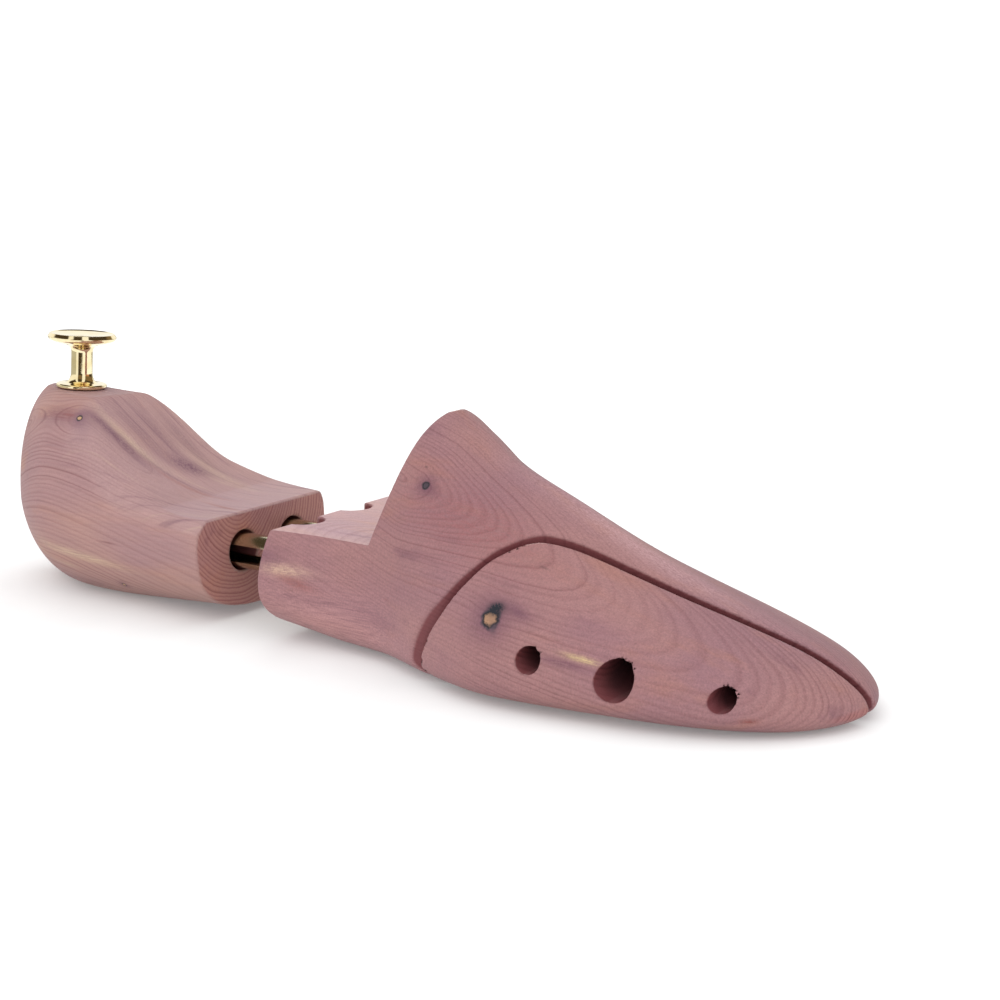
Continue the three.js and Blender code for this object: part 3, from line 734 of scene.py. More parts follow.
class Graph:
    """Short ways to add and join shader nodes. Inputs are numbers, tuples or nodes' sockets."""

    def __init__(self, tree):
        self.tree = tree
        tree.nodes.clear()

    def add(self, kind, inputs=(), output=0, **settings):
        node = self.tree.nodes.new(kind)
        for name, value in settings.items():
            setattr(node, name, value)
        pairs = inputs.items() if isinstance(inputs, dict) else enumerate(inputs)
        for name, value in pairs:
            if value is None:
                continue
            if isinstance(value, bpy.types.NodeSocket):
                self.tree.links.new(value, node.inputs[name])
            elif isinstance(value, tuple) and len(value) == 3 and node.inputs[name].type == "RGBA":
                node.inputs[name].default_value = (*value, 1)
            else:
                node.inputs[name].default_value = value
        return node.outputs[output] if node.outputs else node

    def math(self, operation, a, b=None, c=None):
        return self.add("ShaderNodeMath", (a, b, c), operation=operation)

    def vector(self, operation, a, b=None):
        output = 1 if operation in ("DOT_PRODUCT", "LENGTH") else 0
        return self.add("ShaderNodeVectorMath", (a, b), output, operation=operation)

    def product(self, first, *others):
        for other in others:
            first = self.math("MULTIPLY", first, other)
        return first

    def part(self, vector, name):
        """One of a vector's components, by its name or number."""
        return self.add("ShaderNodeSeparateXYZ", (vector,), name)

    def scaled(self, vector, by):
        return self.vector("MULTIPLY", vector, by)

    def noise(self, vector, scale, detail=2.0, roughness=0.5, output="Fac"):
        inputs = {"Vector": vector, "Scale": scale, "Detail": detail, "Roughness": roughness}
        return self.add("ShaderNodeTexNoise", inputs, output)

    def noise_along(self, value, scale):
        inputs = {"W": value, "Scale": scale, "Detail": 1.0}
        return self.add("ShaderNodeTexNoise", inputs, "Fac", noise_dimensions="1D")

    def shake(self, vector, scale, detail, size):
        """A small offset that wanders from place to place."""
        wander = self.noise(vector, scale, detail, output="Color")
        return self.scaled(self.vector("SUBTRACT", wander, (0.5, 0.5, 0.5)), (size, size, size))

    def ramp(self, value, *stops):
        """A colour or grey ramp from (position, colour) stops."""
        output = self.add("ShaderNodeValToRGB", (value,))
        elements = output.node.color_ramp.elements
        while len(elements) < len(stops):
            elements.new(0.5)
        for element, (position, colour) in zip(elements, stops):
            element.position = position
            element.color = (*(colour if isinstance(colour, tuple) else (colour,) * 3), 1)
        return output

    def span(self, value, low, high, to_low=0.0, to_high=1.0):
        """value's smooth passage from low to high, as to_low to to_high."""
        inputs = (value, low, high, to_low, to_high)
        return self.add("ShaderNodeMapRange", inputs, interpolation_type="SMOOTHSTEP")

    def mix(self, share, a, b, blend="MIX"):
        inputs = {"Factor": share, 6: a, 7: b}
        return self.add("ShaderNodeMix", inputs, 2, data_type="RGBA", blend_type=blend)

    def falloff(self, distance, size):
        """1 at no distance, falling away like a bell curve of that size."""
        share = self.math("DIVIDE", distance, size)
        return self.math("EXPONENT", self.product(share, share, -1.0))

    def drawing_frame(self):
        """The point being shaded, in millimetres in the drawing frame."""
        place = self.add("ShaderNodeTexCoord", output="Object")
        return self.vector("SUBTRACT", self.scaled(place, (1 / MM,) * 3), tuple(ORIGIN))

    def from_line(self, point, through, along):
        """Distance from a line, and how far along it."""
        offset = self.vector("SUBTRACT", point, through)
        forward = self.vector("DOT_PRODUCT", offset, along)
        beside = self.vector("CROSS_PRODUCT", offset, along)
        return self.vector("LENGTH", beside), forward

    def surface(self, height=None, bump=0.0, **principled):
        """The material's shader and output; height is in millimetres, as the bump's depth."""
        inputs = {name.replace("_", " "): value for name, value in principled.items()}
        if height is not None:
            bumps = {"Strength": 1.0, "Distance": bump * MM, "Height": height}
            inputs["Normal"] = self.add("ShaderNodeBump", bumps)
        shader = self.add("ShaderNodeBsdfPrincipled", inputs)
        self.add("ShaderNodeOutputMaterial", {"Surface": shader})


def material(name):
    made = bpy.data.materials.new(name)
    made.use_nodes = True
    return made, Graph(made.node_tree)


def direction(*vector):
    return tuple(Vector(vector).normalized())


# ---------- Cedar ----------
ROSE = srgb(157, 121, 118)
MAUVE = srgb(147, 113, 117)
SLOPE_MAUVE = srgb(158, 128, 131)
SALMON = srgb(161, 119, 107)
RING_DARK = srgb(106, 64, 68)
PURPLE = srgb(98, 64, 82)
CREAM = srgb(194, 172, 146)
RUST = srgb(124, 62, 54)
# Cut faces: fresh-cut wood, darkened as painted shade inside saw cuts and holes.
SAWN_SHADE = srgb(112, 54, 58)
BARK = srgb(38, 36, 40)
GREY = srgb(74, 66, 74)
TAN = srgb(164, 132, 102)
SAWN_SHADE_RING = srgb(72, 28, 32)
# Painted light: the lower lateral side of the forepart made paler, as light thrown up from the floor.
FLOOR_BOUNCE_PALE = srgb(190, 152, 148)
# Painted shade: a darker rose laid on the lateral flank below the tongue.
SHADED_ROSE = srgb(142, 92, 92)
STRAW = srgb(196, 180, 132)
# Painted sheen: a pale streak along the forepart's top ridge.
RIDGE_SHEEN = srgb(186, 156, 156)
BLUE_BLACK = srgb(34, 40, 48)
END_GRAIN_TONE = (1.1, 0.92, 0.88)

# The line that the growth rings run round in each block: a point on it, its direction, the rings'
# spacing, and how quickly they close in front of that point (0 is not at all).
HEEL_PITH = ((107, -12, 36), direction(-97, -8, 25), 1.15, 0.0)
FORE_PITH = ((181, -21, 49), direction(0.95, -0.12, -0.26), 1.05, 1.5)
CLOSING_POWER = 0.6
HEEL_DROOP = (52.0, 0.007)  # behind this X the trunk bends down, by this share of the square

# Knots: centre, direction of the branch, radius, how far it pushes the rings out, over what width,
# and the colour of its heart.
HEEL_KNOTS = (
    ((51.6, -21.5, 56.1), direction(0.1, -0.75, 0.66), 0.8, 6.0, 9.0, TAN),
    ((70.1, -24.1, 6.8), direction(0, -0.7, -0.7), 0.6, 0.8, 3.0, TAN),
)
FORE_KNOTS = (
    ((183.5, -23.1, 50.2), direction(0.15, -0.8, 0.6), 0.9, 0.0, 5.0, GREY),
    ((214.5, -38.7, 22.3), direction(0.05, -0.86, 0.5), 1.9, 1.0, 6.0, TAN),
)
KNOT_REACH = 8.0  # how deep a knot's own colours run along its branch

# Streaks: centre, direction, length and width, colour, strength.
HEEL_STREAKS = (
    ((42, -20, 55), (1, -0.1, 0.1), 9, 3.2, PURPLE, 0.8),
    ((43, -20, 55.5), (1, -0.15, 0.15), 7, 1.8, RUST, 0.7),
    ((54, -22, 53), (0.3, -0.3, -0.9), 5, 2.6, PURPLE, 0.7),
    ((55.5, -20, 53.5), (0.7, -0.2, -0.7), 5, 1.0, BARK, 0.3),
    ((60, -30, 15), (1, 0, -0.12), 20, 1.5, CREAM, 0.45),
    ((46, -27, 12), (1, -0.1, -0.25), 14, 0.7, CREAM, 0.4),
    ((71.4, -30.9, 21.4), (1, 0, -0.05), 3.5, 0.35, RING_DARK, 0.6),
)
# On the scooped slope the streaks are sheets that stand upright in the block, so they follow it
# down: centre and slant seen from above, length and width, colour, strength.
SLOPE_STREAKS = (
    ((58, -17), 0.42, 8, 1.6, PURPLE, 0.6),
    ((63, -12), 0.42, 9, 1.6, CREAM, 0.35),
    ((64, -14.5), 0.4, 9, 2.2, PURPLE, 0.5),
    ((61, -6), 0.36, 9, 3.0, PURPLE, 0.4),
    ((62, 1), 0.3, 9, 2.6, PURPLE, 0.45),
    ((74, 2), 0.9, 7, 3.4, PURPLE, 0.75),
    ((66, 9), 0.25, 11, 2.2, PURPLE, 0.45),
    ((80, 9), 0.2, 12, 2.5, CREAM, 0.2),
    ((84, -7), 0.3, 12, 0.8, RUST, 0.35),
    ((100, -11), 0, 6, 0.7, RUST, 0.5),
)
FORE_STREAKS = (
    ((141, -30, 22.3), (1, 0, 0.03), 9, 1.7, CREAM, 0.85),
    ((144, -30, 19), (1, 0.05, -0.25), 6, 1.4, RUST, 0.7),
    ((160, -30, 18.3), (1, 0, 0.07), 18, 0.35, RUST, 0.6),
    ((172, -30, 12), (1, 0, 0.04), 12, 2.4, PURPLE, 0.5),
    ((152, -30, 8), (1, 0, 0.02), 16, 3.0, SALMON, 0.6),
    # Painted light from the floor, low along the lateral side.
    ((150, -30, 4), (1, 0, 0), 45, 13.0, FLOOR_BOUNCE_PALE, 0.6),
    ((182, -20, 54), (0.6, 0.3, -0.75), 4, 0.3, BARK, 0.6),
    # Painted shade on the lateral flank below the tongue.
    ((200, -25, 42), (1, 0, -0.3), 22, 9.0, SHADED_ROSE, 0.5),
    ((185, -22.5, 48.5), (1, -0.2, -0.3), 3.5, 1.5, PURPLE, 0.7),
    ((221, -37, 25), (1, 0, -0.5), 4, 1.6, PURPLE, 0.6),
    ((222.5, -26.6, 34.1), (1, 0, -0.1), 2.5, 0.35, BARK, 0.4),
    ((240.5, -38.6, 16.5), (1, 0.1, -0.12), 4.5, 0.8, STRAW, 0.85),
    ((236, -40, 15), (1, 0.1, -0.1), 8, 1.1, PURPLE, 0.6),
    ((212, -38, 21), (1, 0.2, 0.3), 9, 5.0, MAUVE, 0.7),
    ((280, -29, 5.6), (1, 0.3, -0.05), 9, 0.5, RUST, 0.6),
    # Painted sheen along the top ridge of the forepart.
    ((236, -3, 37), (1, 0, -0.44), 38, 5.0, RIDGE_SHEEN, 0.6),
)
# Dark bark caught in the side piece's knot, above and below its heart.
FORE_BARK = (
    ((215.2, -37.6, 24.9), (1, 0, 0.5), 2.2, 1.6, BLUE_BLACK, 1.6),
    ((216.2, -39.6, 19.6), (0.35, 0, -0.9), 2.2, 0.9, GREY, 1.1),
)

# Noise in the wood: scale, detail and roughness.
FIBRE = ((0.1, 2.4, 2.4), 3.0, 0.6)
BANDS = ((0.012, 0.12, 0.12), 3.0, 0.55)
CLOUDS = ((0.02, 0.035, 0.035), 2.0, 0.5)
CHATTER = ((2.4, 1.7, 1.7), 3.0, 0.7)
CLEARNESS = ((0.012, 0.03, 0.03), 1.0, 0.5)
# How dark a ring is, from its spring wood out to its autumn wood.
RING_PROFILE = ((0.0, 0.45), (0.14, 0.05), (0.45, 0.1), (0.8, 0.75), (0.92, 1.0), (1.0, 0.45))

# Where a noise or a slope begins and ends to count, and how much it then adds.
CLOUDS_TO_MAUVE = (0.35, 0.65)
BANDS_TO_SALMON = (0.5, 0.8, 0.0, 0.75)
BANDS_TO_PURPLE = (0.42, 0.2, 0.0, 0.55)
CLEARNESS_SPAN = (0.4, 0.62)
RING_STRENGTH = (0.3, 0.75, 0.1, 0.48)
END_GRAIN_STRENGTH = 0.42
STREAK_BREAKS = (0.25, 0.7, 0.35, 1.3)
FIBRE_SHADE = (0.3, 0.7, 0.94, 1.06)
FIBRE_ROUGHNESS = (0.3, 0.7, 0.52, 0.66)
FACES_END_GRAIN = (0.86, 0.98)
# Faces that lie level are painted lighter, as painted light from above.
LIT_LEVEL_FACES = (0.97, 0.995)
# The same for the scooped slope, with the directions its stripes run in and lie side by side in.
STRIPES_ALONG = direction(0.94, 0.33, 0)
STRIPES_ACROSS = direction(-0.33, 0.94, 0)
STRIPES_TO_PURPLE = (0.48, 0.3, 0.0, 0.45)
STRIPES_TO_CREAM = (0.56, 0.75, 0.0, 0.25)
FACES_UP = (0.3, 0.55)
IN_FRONT_OF_CREST = (FACET_FRONT - 4, FACET_FRONT + 3)
# Depth in the block, in mm, at which a cut face shows fresh-cut wood darkened by painted shade,
# and a hole goes dark with painted shade.
SAWN_SHADE_DEPTH = (0.25, 0.9, 0.0, 0.85)
HOLE_SHADE_DEPTH = (2.0, 14.0, 0.0, 0.7)

# What is particular to the trunk that each block is cut from. chatter is how much the planing
# shows, clear the range of the rings' strength, and the level tone is painted light: it makes
# faces that lie level lighter, as if lit from above.
HEEL_BLOCK = {
    "pith": HEEL_PITH,
    "droop": HEEL_DROOP,
    "knots": HEEL_KNOTS,
    "streaks": HEEL_STREAKS,
    "slope_streaks": SLOPE_STREAKS,
    "bark": (),
    "seed": 11.0,
    "chatter": 0.3,
    "clear": (0.8, 1.45),
    "tone": (1.07, 1.09, 1.02),
    "painted_top_light": (1.08, 1.14, 1.18),
}
FORE_BLOCK = {
    "pith": FORE_PITH,
    "droop": None,
    "knots": FORE_KNOTS,
    "streaks": FORE_STREAKS,
    "slope_streaks": (),
    "bark": FORE_BARK,
    "seed": 47.0,
    "chatter": 0.75,
    "clear": (0.55, 1.15),
    "tone": (0.87, 0.77, 0.8),
    "painted_top_light": (1.65, 2.1, 2.05),
}


def along_branch(graph, forward):
    """1 near a knot's centre, 0 beyond its reach along the branch."""
    return graph.span(graph.math("ABSOLUTE", forward), KNOT_REACH * 0.7, KNOT_REACH * 1.3, 1.0, 0.0)


def ring_field(graph, point, pith, knots, seed):
    """Counts growth rings outwards from the pith, bent by slow drift and pushed out by knots."""
    centre, along, spacing, closing = pith
    stretched = graph.scaled(graph.vector("ADD", point, (seed, seed, seed)), (0.3, 1.0, 1.0))
    bent = graph.vector("ADD", point, graph.shake(stretched, 0.035, 1.0, 6.0))
    wobble = graph.noise(stretched, 0.5, 2.0)
    radius, forward = graph.from_line(bent, centre, along)
    if closing:
        ahead = graph.math("POWER", graph.math("MAXIMUM", forward, 0.0), CLOSING_POWER)
        ahead = graph.math("MULTIPLY", ahead, closing)
        corner = graph.add("ShaderNodeCombineXYZ", (radius, ahead, 0.0))
        radius = graph.vector("LENGTH", corner)
    radius = graph.math("MULTIPLY_ADD", wobble, 0.4, radius)
    for knot_centre, branch, _, push, width, _ in knots:
        away, forward = graph.from_line(point, knot_centre, branch)
        lift = graph.product(graph.falloff(away, width), push, graph.falloff(forward, 4 * KNOT_REACH))
        radius = graph.math("SUBTRACT", radius, lift)
    count = graph.math("DIVIDE", radius, spacing)
    return graph.math("MULTIPLY_ADD", graph.noise_along(count, 0.35), 1.2, count)


def drooped(graph, point, droop):
    """The point as it was before the trunk bent down towards its back end."""
    start, amount = droop
    behind = graph.math("MAXIMUM", graph.math("SUBTRACT", start, graph.part(point, "X")), 0.0)
    drop = graph.product(behind, behind, amount)
    return graph.vector("ADD", point, graph.add("ShaderNodeCombineXYZ", {"Z": drop}))


def paint_rings(graph, count, colour, end_grain, clear):
    """Pale spring wood, and thin darker lines of autumn wood that vary in strength."""
    line = graph.ramp(graph.math("FRACT", count), *RING_PROFILE)
    loud = graph.span(graph.noise_along(count, 0.9), *RING_STRENGTH)
    loud = graph.math("MULTIPLY", loud, clear)
    loud = graph.math("MULTIPLY_ADD", end_grain, END_GRAIN_STRENGTH, loud)
    strength = graph.math("MULTIPLY", line, loud)
    return graph.mix(strength, colour, RING_DARK), strength


def paint_streak(graph, point, colour, fibre, streak):
    """A soft streak of another colour, broken up by the fibres."""
    centre, along, length, width, tint, strength = streak
    across, forward = graph.from_line(point, centre, direction(*along))
    broken = graph.span(fibre, *STREAK_BREAKS)
    faded = (graph.falloff(across, width), graph.falloff(forward, length))
    share = graph.product(*faded, broken, strength)
    return graph.mix(graph.math("MINIMUM", share, 1.0), colour, tint)


def paint_knot(graph, point, colour, knot):
    """A branch's own tight rings with a dark rim, a purple bruise round it and a heart."""
    centre, branch, radius, _, _, heart = knot
    bent = graph.vector("ADD", point, graph.shake(point, 0.8, 2.0, radius * 0.9))
    away, forward = graph.from_line(bent, centre, branch)
    near = along_branch(graph, forward)
    bruise = graph.product(graph.falloff(away, radius * 3.4), near, 0.6)
    colour = graph.mix(bruise, colour, PURPLE)
    share = graph.math("DIVIDE", away, radius * 1.6)
    inside = graph.ramp(share, (0.0, heart), (0.45, heart), (0.62, BARK), (0.85, GREY), (1.0, PURPLE))
    cover = graph.math("MULTIPLY", graph.span(share, 0.65, 1.1, 1.0, 0.0), near)
    return graph.mix(cover, colour, inside)


def paint_slope(graph, point, upward, plain, fibre, streaks):
    """The scooped slope: fine purple and cream stripes that fan out from the knot."""
    forward = graph.vector("DOT_PRODUCT", point, STRIPES_ALONG)
    across = graph.vector("DOT_PRODUCT", point, STRIPES_ACROSS)
    sheet = graph.add("ShaderNodeCombineXYZ", (graph.math("MULTIPLY", forward, 0.05), across, 0.0))
    stripes = graph.noise(sheet, 0.4, 4.0, 0.6)
    colour = graph.mix(0.5, plain, SLOPE_MAUVE)
    colour = graph.mix(graph.span(stripes, *STRIPES_TO_PURPLE), colour, PURPLE)
    colour = graph.mix(graph.span(stripes, *STRIPES_TO_CREAM), colour, CREAM)
    seen_from_above = graph.scaled(point, (1.0, 1.0, 0.0))
    for centre, slant, *others in streaks:
        streak = ((*centre, 0), (1, slant, 0), *others)
        colour = paint_streak(graph, seen_from_above, colour, fibre, streak)
    in_front = graph.span(graph.part(point, "X"), *IN_FRONT_OF_CREST)
    cover = graph.math("MULTIPLY", graph.span(upward, *FACES_UP), in_front)
    return graph.mix(cover, plain, colour)


def cedar(name, block):
    """Aromatic red cedar, cut from a trunk whose rings, knots and streaks run through the block."""
    made, graph = material(name)
    point = graph.drawing_frame()
    normal = graph.add("ShaderNodeNewGeometry", output="Normal")
    facing = graph.math("ABSOLUTE", graph.vector("DOT_PRODUCT", normal, block["pith"][1]))
    end_grain = graph.span(facing, *FACES_END_GRAIN)
    seed = block["seed"]
    shifted = graph.vector("ADD", point, (seed, 2 * seed, 3 * seed))
    fibre, bands, clouds, chatter, clear = (
        graph.noise(graph.scaled(shifted, scale), 1.0, detail, roughness)
        for scale, detail, roughness in (FIBRE, BANDS, CLOUDS, CHATTER, CLEARNESS)
    )
    clear = graph.span(clear, *CLEARNESS_SPAN, *block["clear"])
    upward = graph.part(normal, "Z")

    colour = graph.mix(graph.span(clouds, *CLOUDS_TO_MAUVE), ROSE, MAUVE)
    colour = graph.mix(graph.span(bands, *BANDS_TO_SALMON), colour, SALMON)
    colour = graph.mix(graph.span(bands, *BANDS_TO_PURPLE), colour, PURPLE)
    trunk = drooped(graph, point, block["droop"]) if block["droop"] else point
    count = ring_field(graph, trunk, block["pith"], block["knots"], seed)
    colour, ring = paint_rings(graph, count, colour, end_grain, clear)
    for streak in block["streaks"]:
        colour = paint_streak(graph, point, colour, fibre, streak)
    if block["slope_streaks"]:
        colour = paint_slope(graph, point, upward, colour, fibre, block["slope_streaks"])
    for knot in block["knots"]:
        colour = paint_knot(graph, point, colour, knot)
    for patch in block["bark"]:
        colour = paint_streak(graph, point, colour, chatter, patch)

    grain = graph.span(fibre, *FIBRE_SHADE)
    speckle = graph.math("SUBTRACT", chatter, 0.5)
    speckle = graph.math("MULTIPLY_ADD", speckle, block["chatter"], 1.0)
    shade = graph.math("MULTIPLY", grain, speckle)
    colour = graph.scaled(colour, graph.add("ShaderNodeCombineXYZ", (shade, shade, shade)))
    colour = graph.scaled(colour, block["tone"])
    # Painted light: faces that lie level are made lighter, as if lit from above.
    level = graph.span(upward, *LIT_LEVEL_FACES)
    colour = graph.mix(level, colour, graph.scaled(colour, block["painted_top_light"]))
    colour = graph.mix(end_grain, colour, graph.scaled(colour, END_GRAIN_TONE))
    depth = graph.add("ShaderNodeAttribute", output="Fac", attribute_name="depth")
    # Cut faces get the fresh-cut colour, darkened as painted shade in the cut.
    sawn_shade = graph.span(depth, *SAWN_SHADE_DEPTH)
    colour = graph.mix(sawn_shade, colour, graph.mix(ring, SAWN_SHADE, SAWN_SHADE_RING))
    # Painted shade: deep in a hole the wood goes nearly black.
    colour = graph.mix(graph.span(depth, *HOLE_SHADE_DEPTH), colour, BARK)

    height = graph.math("ADD", graph.math("MULTIPLY", ring, 0.4), fibre)
    height = graph.math("MULTIPLY_ADD", chatter, 0.8, height)
    rough = graph.span(fibre, *FIBRE_ROUGHNESS)
    graph.surface(height, 0.06, Base_Color=colour, Roughness=rough, Specular_IOR_Level=0.3)
    return made


# ---------- Metals ----------
def polished_brass():
    made, graph = material("polished_brass")
    point = graph.drawing_frame()
    haze = graph.noise(point, 0.35, 3.0)
    marks = graph.noise(graph.scaled(point, (1.0, 1.0, 14.0)), 0.8, 2.0)
    colour = graph.mix(graph.span(haze, 0.35, 0.7), srgb(248, 234, 194), srgb(242, 224, 176))
    rough = graph.span(haze, 0.3, 0.7, 0.03, 0.08)
    graph.surface(marks, 0.003, Base_Color=colour, Metallic=1.0, Roughness=rough)
    return made


def plated_brass():
    """Drawn tube with a pale brass plating: fine lines along it and a little dulling."""
    made, graph = material("plated_brass")
    point = graph.drawing_frame()
    lines = graph.noise(graph.scaled(point, (0.03, 5.0, 5.0)), 1.0, 3.0)
    dull = graph.noise(point, 0.12, 3.0)
    colour = graph.mix(graph.span(dull, 0.35, 0.65), srgb(216, 210, 180), srgb(200, 194, 160))
    rough = graph.span(dull, 0.3, 0.7, 0.12, 0.24)
    graph.surface(lines, 0.01, Base_Color=colour, Metallic=1.0, Roughness=rough)
    return made


def brushed_steel():
    made, graph = material("brushed_steel")
    point = graph.drawing_frame()
    lines = graph.noise(graph.scaled(point, (0.3, 0.3, 4.0)), 1.0, 3.0)
    colour = graph.mix(lines, srgb(188, 190, 194), srgb(150, 152, 158))
    rough = graph.span(lines, 0.3, 0.7, 0.25, 0.42)
    graph.surface(lines, 0.01, Base_Color=colour, Metallic=1.0, Roughness=rough)
    return made


# ---------- The stage: floor, light and camera ----------
def add_camera():
    """The camera looks down and to the left from in front of the toe's lateral side."""
    place = (0.28501, -0.36826, 0.13907)
    down, tilt, left = (math.radians(angle) for angle in (12.17, 0.13, 33.60))
    data = bpy.data.cameras.new("camera")
    data.lens = 60.2
    data.sensor_width = 36
    data.clip_start = 0.01
    camera = bpy.data.objects.new("camera", data)
    bpy.context.scene.collection.objects.link(camera)
    camera.location = place
    camera.rotation_euler = (math.pi / 2 - down, tilt, left)
    bpy.context.scene.camera = camera


def add_floor():
    """A round white table top, matt, a little mottled, and lit from below like a light table."""
    radius, glow = 0.4, 0.2
    darkest, lightest = 0.7, 0.72
    bpy.ops.mesh.primitive_circle_add(vertices=128, radius=radius, fill_type="NGON")
    floor = bpy.context.object
    floor.name = "floor"
    made, graph = material("white_floor")
    point = graph.add("ShaderNodeTexCoord", output="Object")
    mottle = graph.span(graph.noise(point, 30.0, 3.0), 0.3, 0.7, darkest, lightest)
    colour = graph.add("ShaderNodeCombineColor", (mottle, mottle, mottle))
    matt = {"Roughness": 0.9, "Specular_IOR_Level": 0.0}
    graph.surface(Base_Color=colour, Emission_Color=colour, Emission_Strength=glow, **matt)
    floor.data.materials.append(made)


def add_overhead_light():
    """A very large soft light above the table, a little to the front."""
    toward_lamp = Vector((0.25, -0.7, 0.67))
    data = bpy.data.lights.new("overhead", "SUN")
    data.energy = 0.6
    data.angle = math.radians(60)
    lamp = bpy.data.objects.new("overhead", data)
    bpy.context.scene.collection.objects.link(lamp)
    lamp.rotation_euler = toward_lamp.to_track_quat("Z", "Y").to_euler()
    lamp.visible_glossy = False  # polished metal mirrors the world's white panels instead


# What polished metal mirrors: colours, and where they change on the way round the horizon, from
# -X by -Y, +X and +Y back to -X. One white panel stands in front and one near the toe's end. The
# near colour is beside the second panel, gap lies between the two and behind, far is the rest.
WHITE = (0.8, 0.8, 0.8)
DIM = (0.42, 0.41, 0.36)
AMBER = (0.42, 0.2, 0.1)
BRONZE = (0.16, 0.11, 0.055)
DARK = (0.05, 0.035, 0.02)
PANELS = (
    (0.0, "far"), (0.2, "far"), (0.21, "white"), (0.265, "white"), (0.28, "gap"), (0.395, "gap"),
    (0.405, "white"), (0.48, "white"), (0.492, "near"), (0.6, "near"), (0.62, "gap"), (0.74, "gap"),
    (0.75, "far"),
)
ZONES = (
    {"far": DIM, "near": AMBER, "gap": DARK, "white": WHITE},
    {"far": WHITE, "near": BRONZE, "gap": BRONZE, "white": WHITE},
    {"far": DARK, "near": DARK, "gap": DARK, "white": WHITE},
)
# Heights, as the upward part of a direction, over which each zone gives way to the next.
TO_LEVEL = (0.0, 0.12)
TO_ABOVE = (0.5, 0.58)
TO_CEILING = (0.9, 0.95)


def add_world():
    """A white studio. Polished metal mirrors white panels, with darker and warmer walls between."""
    world = bpy.data.worlds.new("studio")
    bpy.context.scene.world = world
    world.use_nodes = True
    graph = Graph(world.node_tree)
    toward = graph.add("ShaderNodeTexCoord", output="Generated")
    x, y, z = (graph.part(toward, n) for n in range(3))
    turn = graph.math("DEGREES", graph.math("ARCTAN2", y, x))
    share = graph.math("MULTIPLY_ADD", turn, 1 / 360, 0.5)
    below, level, above = (
        graph.ramp(share, *((at, colours[name]) for at, name in PANELS)) for colours in ZONES
    )
    mirrored = graph.mix(graph.span(z, *TO_LEVEL), below, level)
    mirrored = graph.mix(graph.span(z, *TO_ABOVE), mirrored, above)
    mirrored = graph.mix(graph.span(z, *TO_CEILING), mirrored, WHITE)
    path = graph.add("ShaderNodeLightPath", output="Is Glossy Ray")
    colour = graph.mix(path, (1.0, 1.0, 1.0), mirrored)
    background = graph.add("ShaderNodeBackground", {"Color": colour, "Strength": 1.35})
    graph.add("ShaderNodeOutputWorld", {"Surface": background})


# ---------- Assembly ----------
def finish_piece(piece, body, surface, node):
    piece.data.materials.clear()
    piece.data.materials.append(surface)
    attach(piece, body)
    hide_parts(node)


def make_wood():
    heel_cedar = cedar("heel_cedar", HEEL_BLOCK)
    fore_cedar = cedar("forepart_cedar", FORE_BLOCK)
    for name, node, solid, body, surface in (
        ("heel_wood", "heel_block", heel_wood, "heel", heel_cedar),
        ("forepart_wood", "forepart_block", forepart_wood, "forepart", fore_cedar),
        ("side_wood", "side_piece", side_wood, "side", fore_cedar),
    ):
        finish_piece(wood_shape(name, node, solid), body, surface, node)


def make_knob(brass, steel):
    """The pull knob, turned from one bar and polished, and the stud inside it."""
    socket = STUD_RADIUS + FIT_GAP
    outline = (
        (0, KNOB_SOCKET_DEPTH, 0),
        (socket, KNOB_SOCKET_DEPTH, 0.2),
        (socket, FIT_GAP, 0.3),
        (7.5, FIT_GAP, 0.15),
        (7.85, 0.65, 0.15),
        (7.85, 1.3, 0.12),
        (7.5, 1.6, 0.15),
        (4.3, 1.85, 1.2),
        (3.36, 3.9, 1.2),
        (3.35, 12.6, 1.8),
        (4.9, 13.9, 1.2),
        (8.4, 14.7, 1.6),
        (10.3, 15.5, 0.7),
        (10.73, 16.45, 0.15),
        (9.95, 17.58, 0.12),
        (9.2, 17.25, 0.4),
        (5, 16.65, 2.5),
        (0, 16.4, 0),
    )
    knob = turned("knob", outline, KNOB_SEAT, KNOB_AXIS)
    finish_piece(knob, "heel", brass, "heel_knob")
    stud, _ = shape_from_field("stud", "knob_stud", stud_metal, THREAD_STEP)
    finish_piece(stud, "heel", steel, "knob_stud")


def pin(name, start, length, radius, axis, chamfer):
    """A round pin with chamfered ends."""
    outline = (
        (0, 0, 0),
        (radius - chamfer, 0, 0.1),
        (radius, chamfer, 0.15),
        (radius, length - chamfer, 0.15),
        (radius - chamfer, length, 0.1),
        (0, length, 0),
    )
    return turned(name, outline, start, axis)


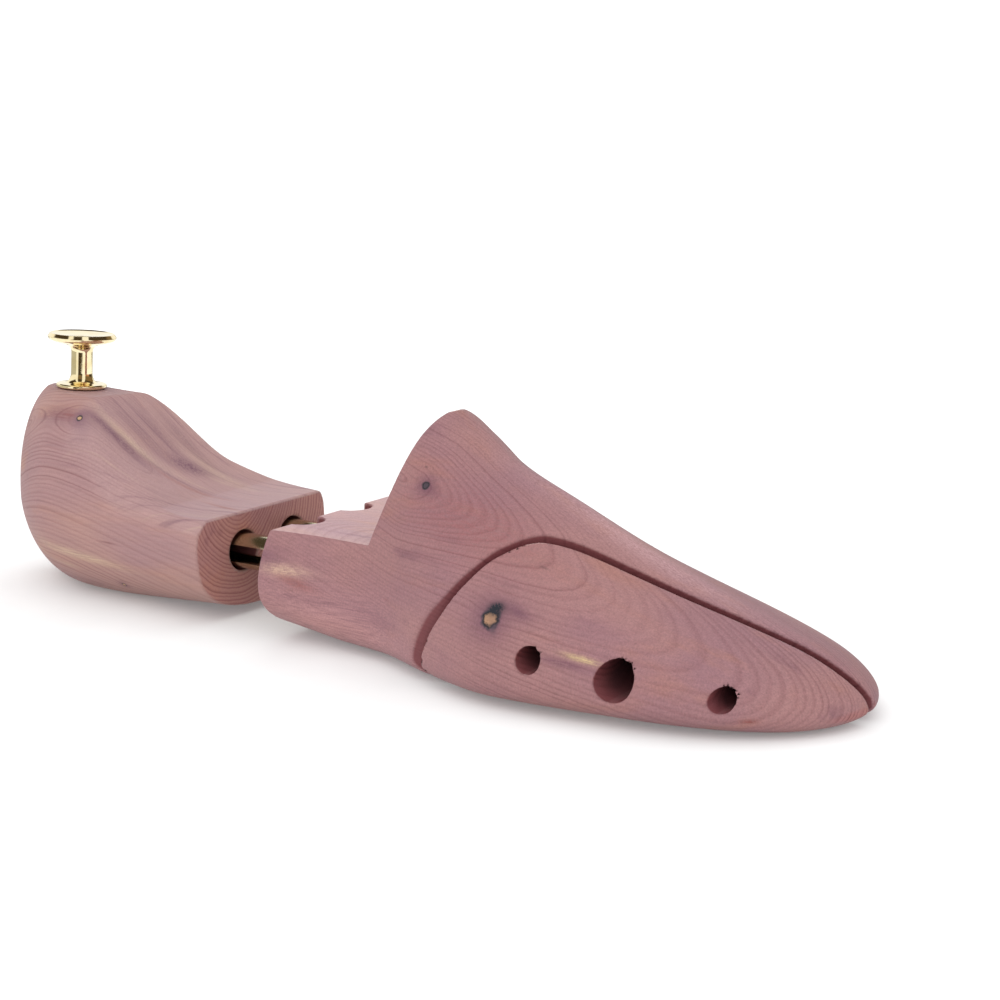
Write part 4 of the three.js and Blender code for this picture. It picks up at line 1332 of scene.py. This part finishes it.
def make_tube_set(side, y, brass, plated, steel):
    """One tube with its end cap, spring, spring seat and lock screw."""
    tube, _ = shape_from_field(f"{side}_tube", f"tube_{side}", lambda p: tube_metal(p, y), TUBE_STEP)
    finish_piece(tube, "forepart", plated, f"tube_{side}")
    screw, _ = shape_from_field(
        f"{side}_tube_screw", f"tube_screw_{side}", lambda p: lock_screw_metal(p, y), THREAD_STEP
    )
    finish_piece(screw, "forepart", steel, f"tube_screw_{side}")

    flange_back = TUBE_BACK - FIT_GAP - CAP_FLANGE
    spigot = TUBE_INNER - FIT_GAP
    cap_length = CAP_FLANGE + CAP_SPIGOT
    cap_outline = (
        (0, 0.6, 0),
        (2.0, 0.6, 0.5),
        (2.5, 0, 0.3),
        (TUBE_OUTER, 0, 0.3),
        (TUBE_OUTER, CAP_FLANGE, 0.1),
        (spigot, CAP_FLANGE, 0.1),
        (spigot, cap_length, 0.6),
        (0, cap_length, 0),
    )
    cap = turned(f"{side}_tube_cap", cap_outline, (flange_back, y, TUBE_Z), (1, 0, 0))
    finish_piece(cap, "forepart", brass, f"tube_cap_{side}")

    seat_back = HEEL_BORE_END + FIT_GAP
    seat_outline = (
        (2, 0, 0.1),
        (SEAT_RADIUS, 0, 0.15),
        (SEAT_RADIUS, SEAT_THICKNESS, 0.15),
        (2, SEAT_THICKNESS, 0.1),
    )
    seat = turned(f"{side}_spring_seat", seat_outline, (seat_back, y, TUBE_Z), (1, 0, 0), closed=True)
    finish_piece(seat, "heel", steel, f"spring_seat_{side}")

    radius, wire, turns = HEEL_COIL
    start = seat_back + SEAT_THICKNESS + wire + FIT_GAP
    end = flange_back - wire - FIT_GAP
    spring = coil(f"{side}_heel_spring", (start, y, TUBE_Z), (end, y, TUBE_Z), radius, wire, turns, 1)
    finish_piece(spring, "heel", steel, f"heel_spring_{side}")
    squeeze(spring)


def make_guide(name, x, z, wall_y, steel):
    """A guide pin pressed into the forepart block, and the spring round it."""
    tip = wall_y - KERF_GAP - GUIDE_REACH
    length = wall_y + GUIDE_DEPTH - tip
    guide = pin(f"{name}_guide_pin", (x, tip, z), length, GUIDE_RADIUS, (0, 1, 0), 0.6)
    finish_piece(guide, "forepart", steel, f"guide_pin_{name}")
    radius, wire, turns = SIDE_COIL
    start = wall_y - KERF_GAP - POCKET_DEPTH + wire + FIT_GAP
    end = wall_y + POCKET_DEPTH - wire - FIT_GAP
    spring = coil(f"{name}_side_spring", (x, start, z), (x, end, z), radius, wire, turns, 0.75)
    finish_piece(spring, "side", steel, f"side_spring_{name}")
    squeeze(spring)


def squeeze(spring):
    """Gives a spring its own copy of its mesh."""
    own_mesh(spring)


def make_metal():
    brass, plated, steel = polished_brass(), plated_brass(), brushed_steel()
    make_knob(brass, steel)
    start, end = CROSS_PIN_ENDS
    place = (CROSS_PIN_X, start, TUBE_Z)
    cross_pin = pin("cross_pin", place, end - start, CROSS_PIN_RADIUS, (0, 1, 0), 0.5)
    finish_piece(cross_pin, "heel", steel, "heel_cross_pin")
    for side, y in (("lateral", -TUBE_Y), ("medial", TUBE_Y)):
        make_tube_set(side, y, brass, plated, steel)
    for name, x, z, wall_y in GUIDES:
        make_guide(name, x, z, wall_y, steel)


make_wood()
make_metal()
add_camera()
add_floor()
add_overhead_light()
add_world()
bpy.context.scene.view_settings.view_transform = "Standard"
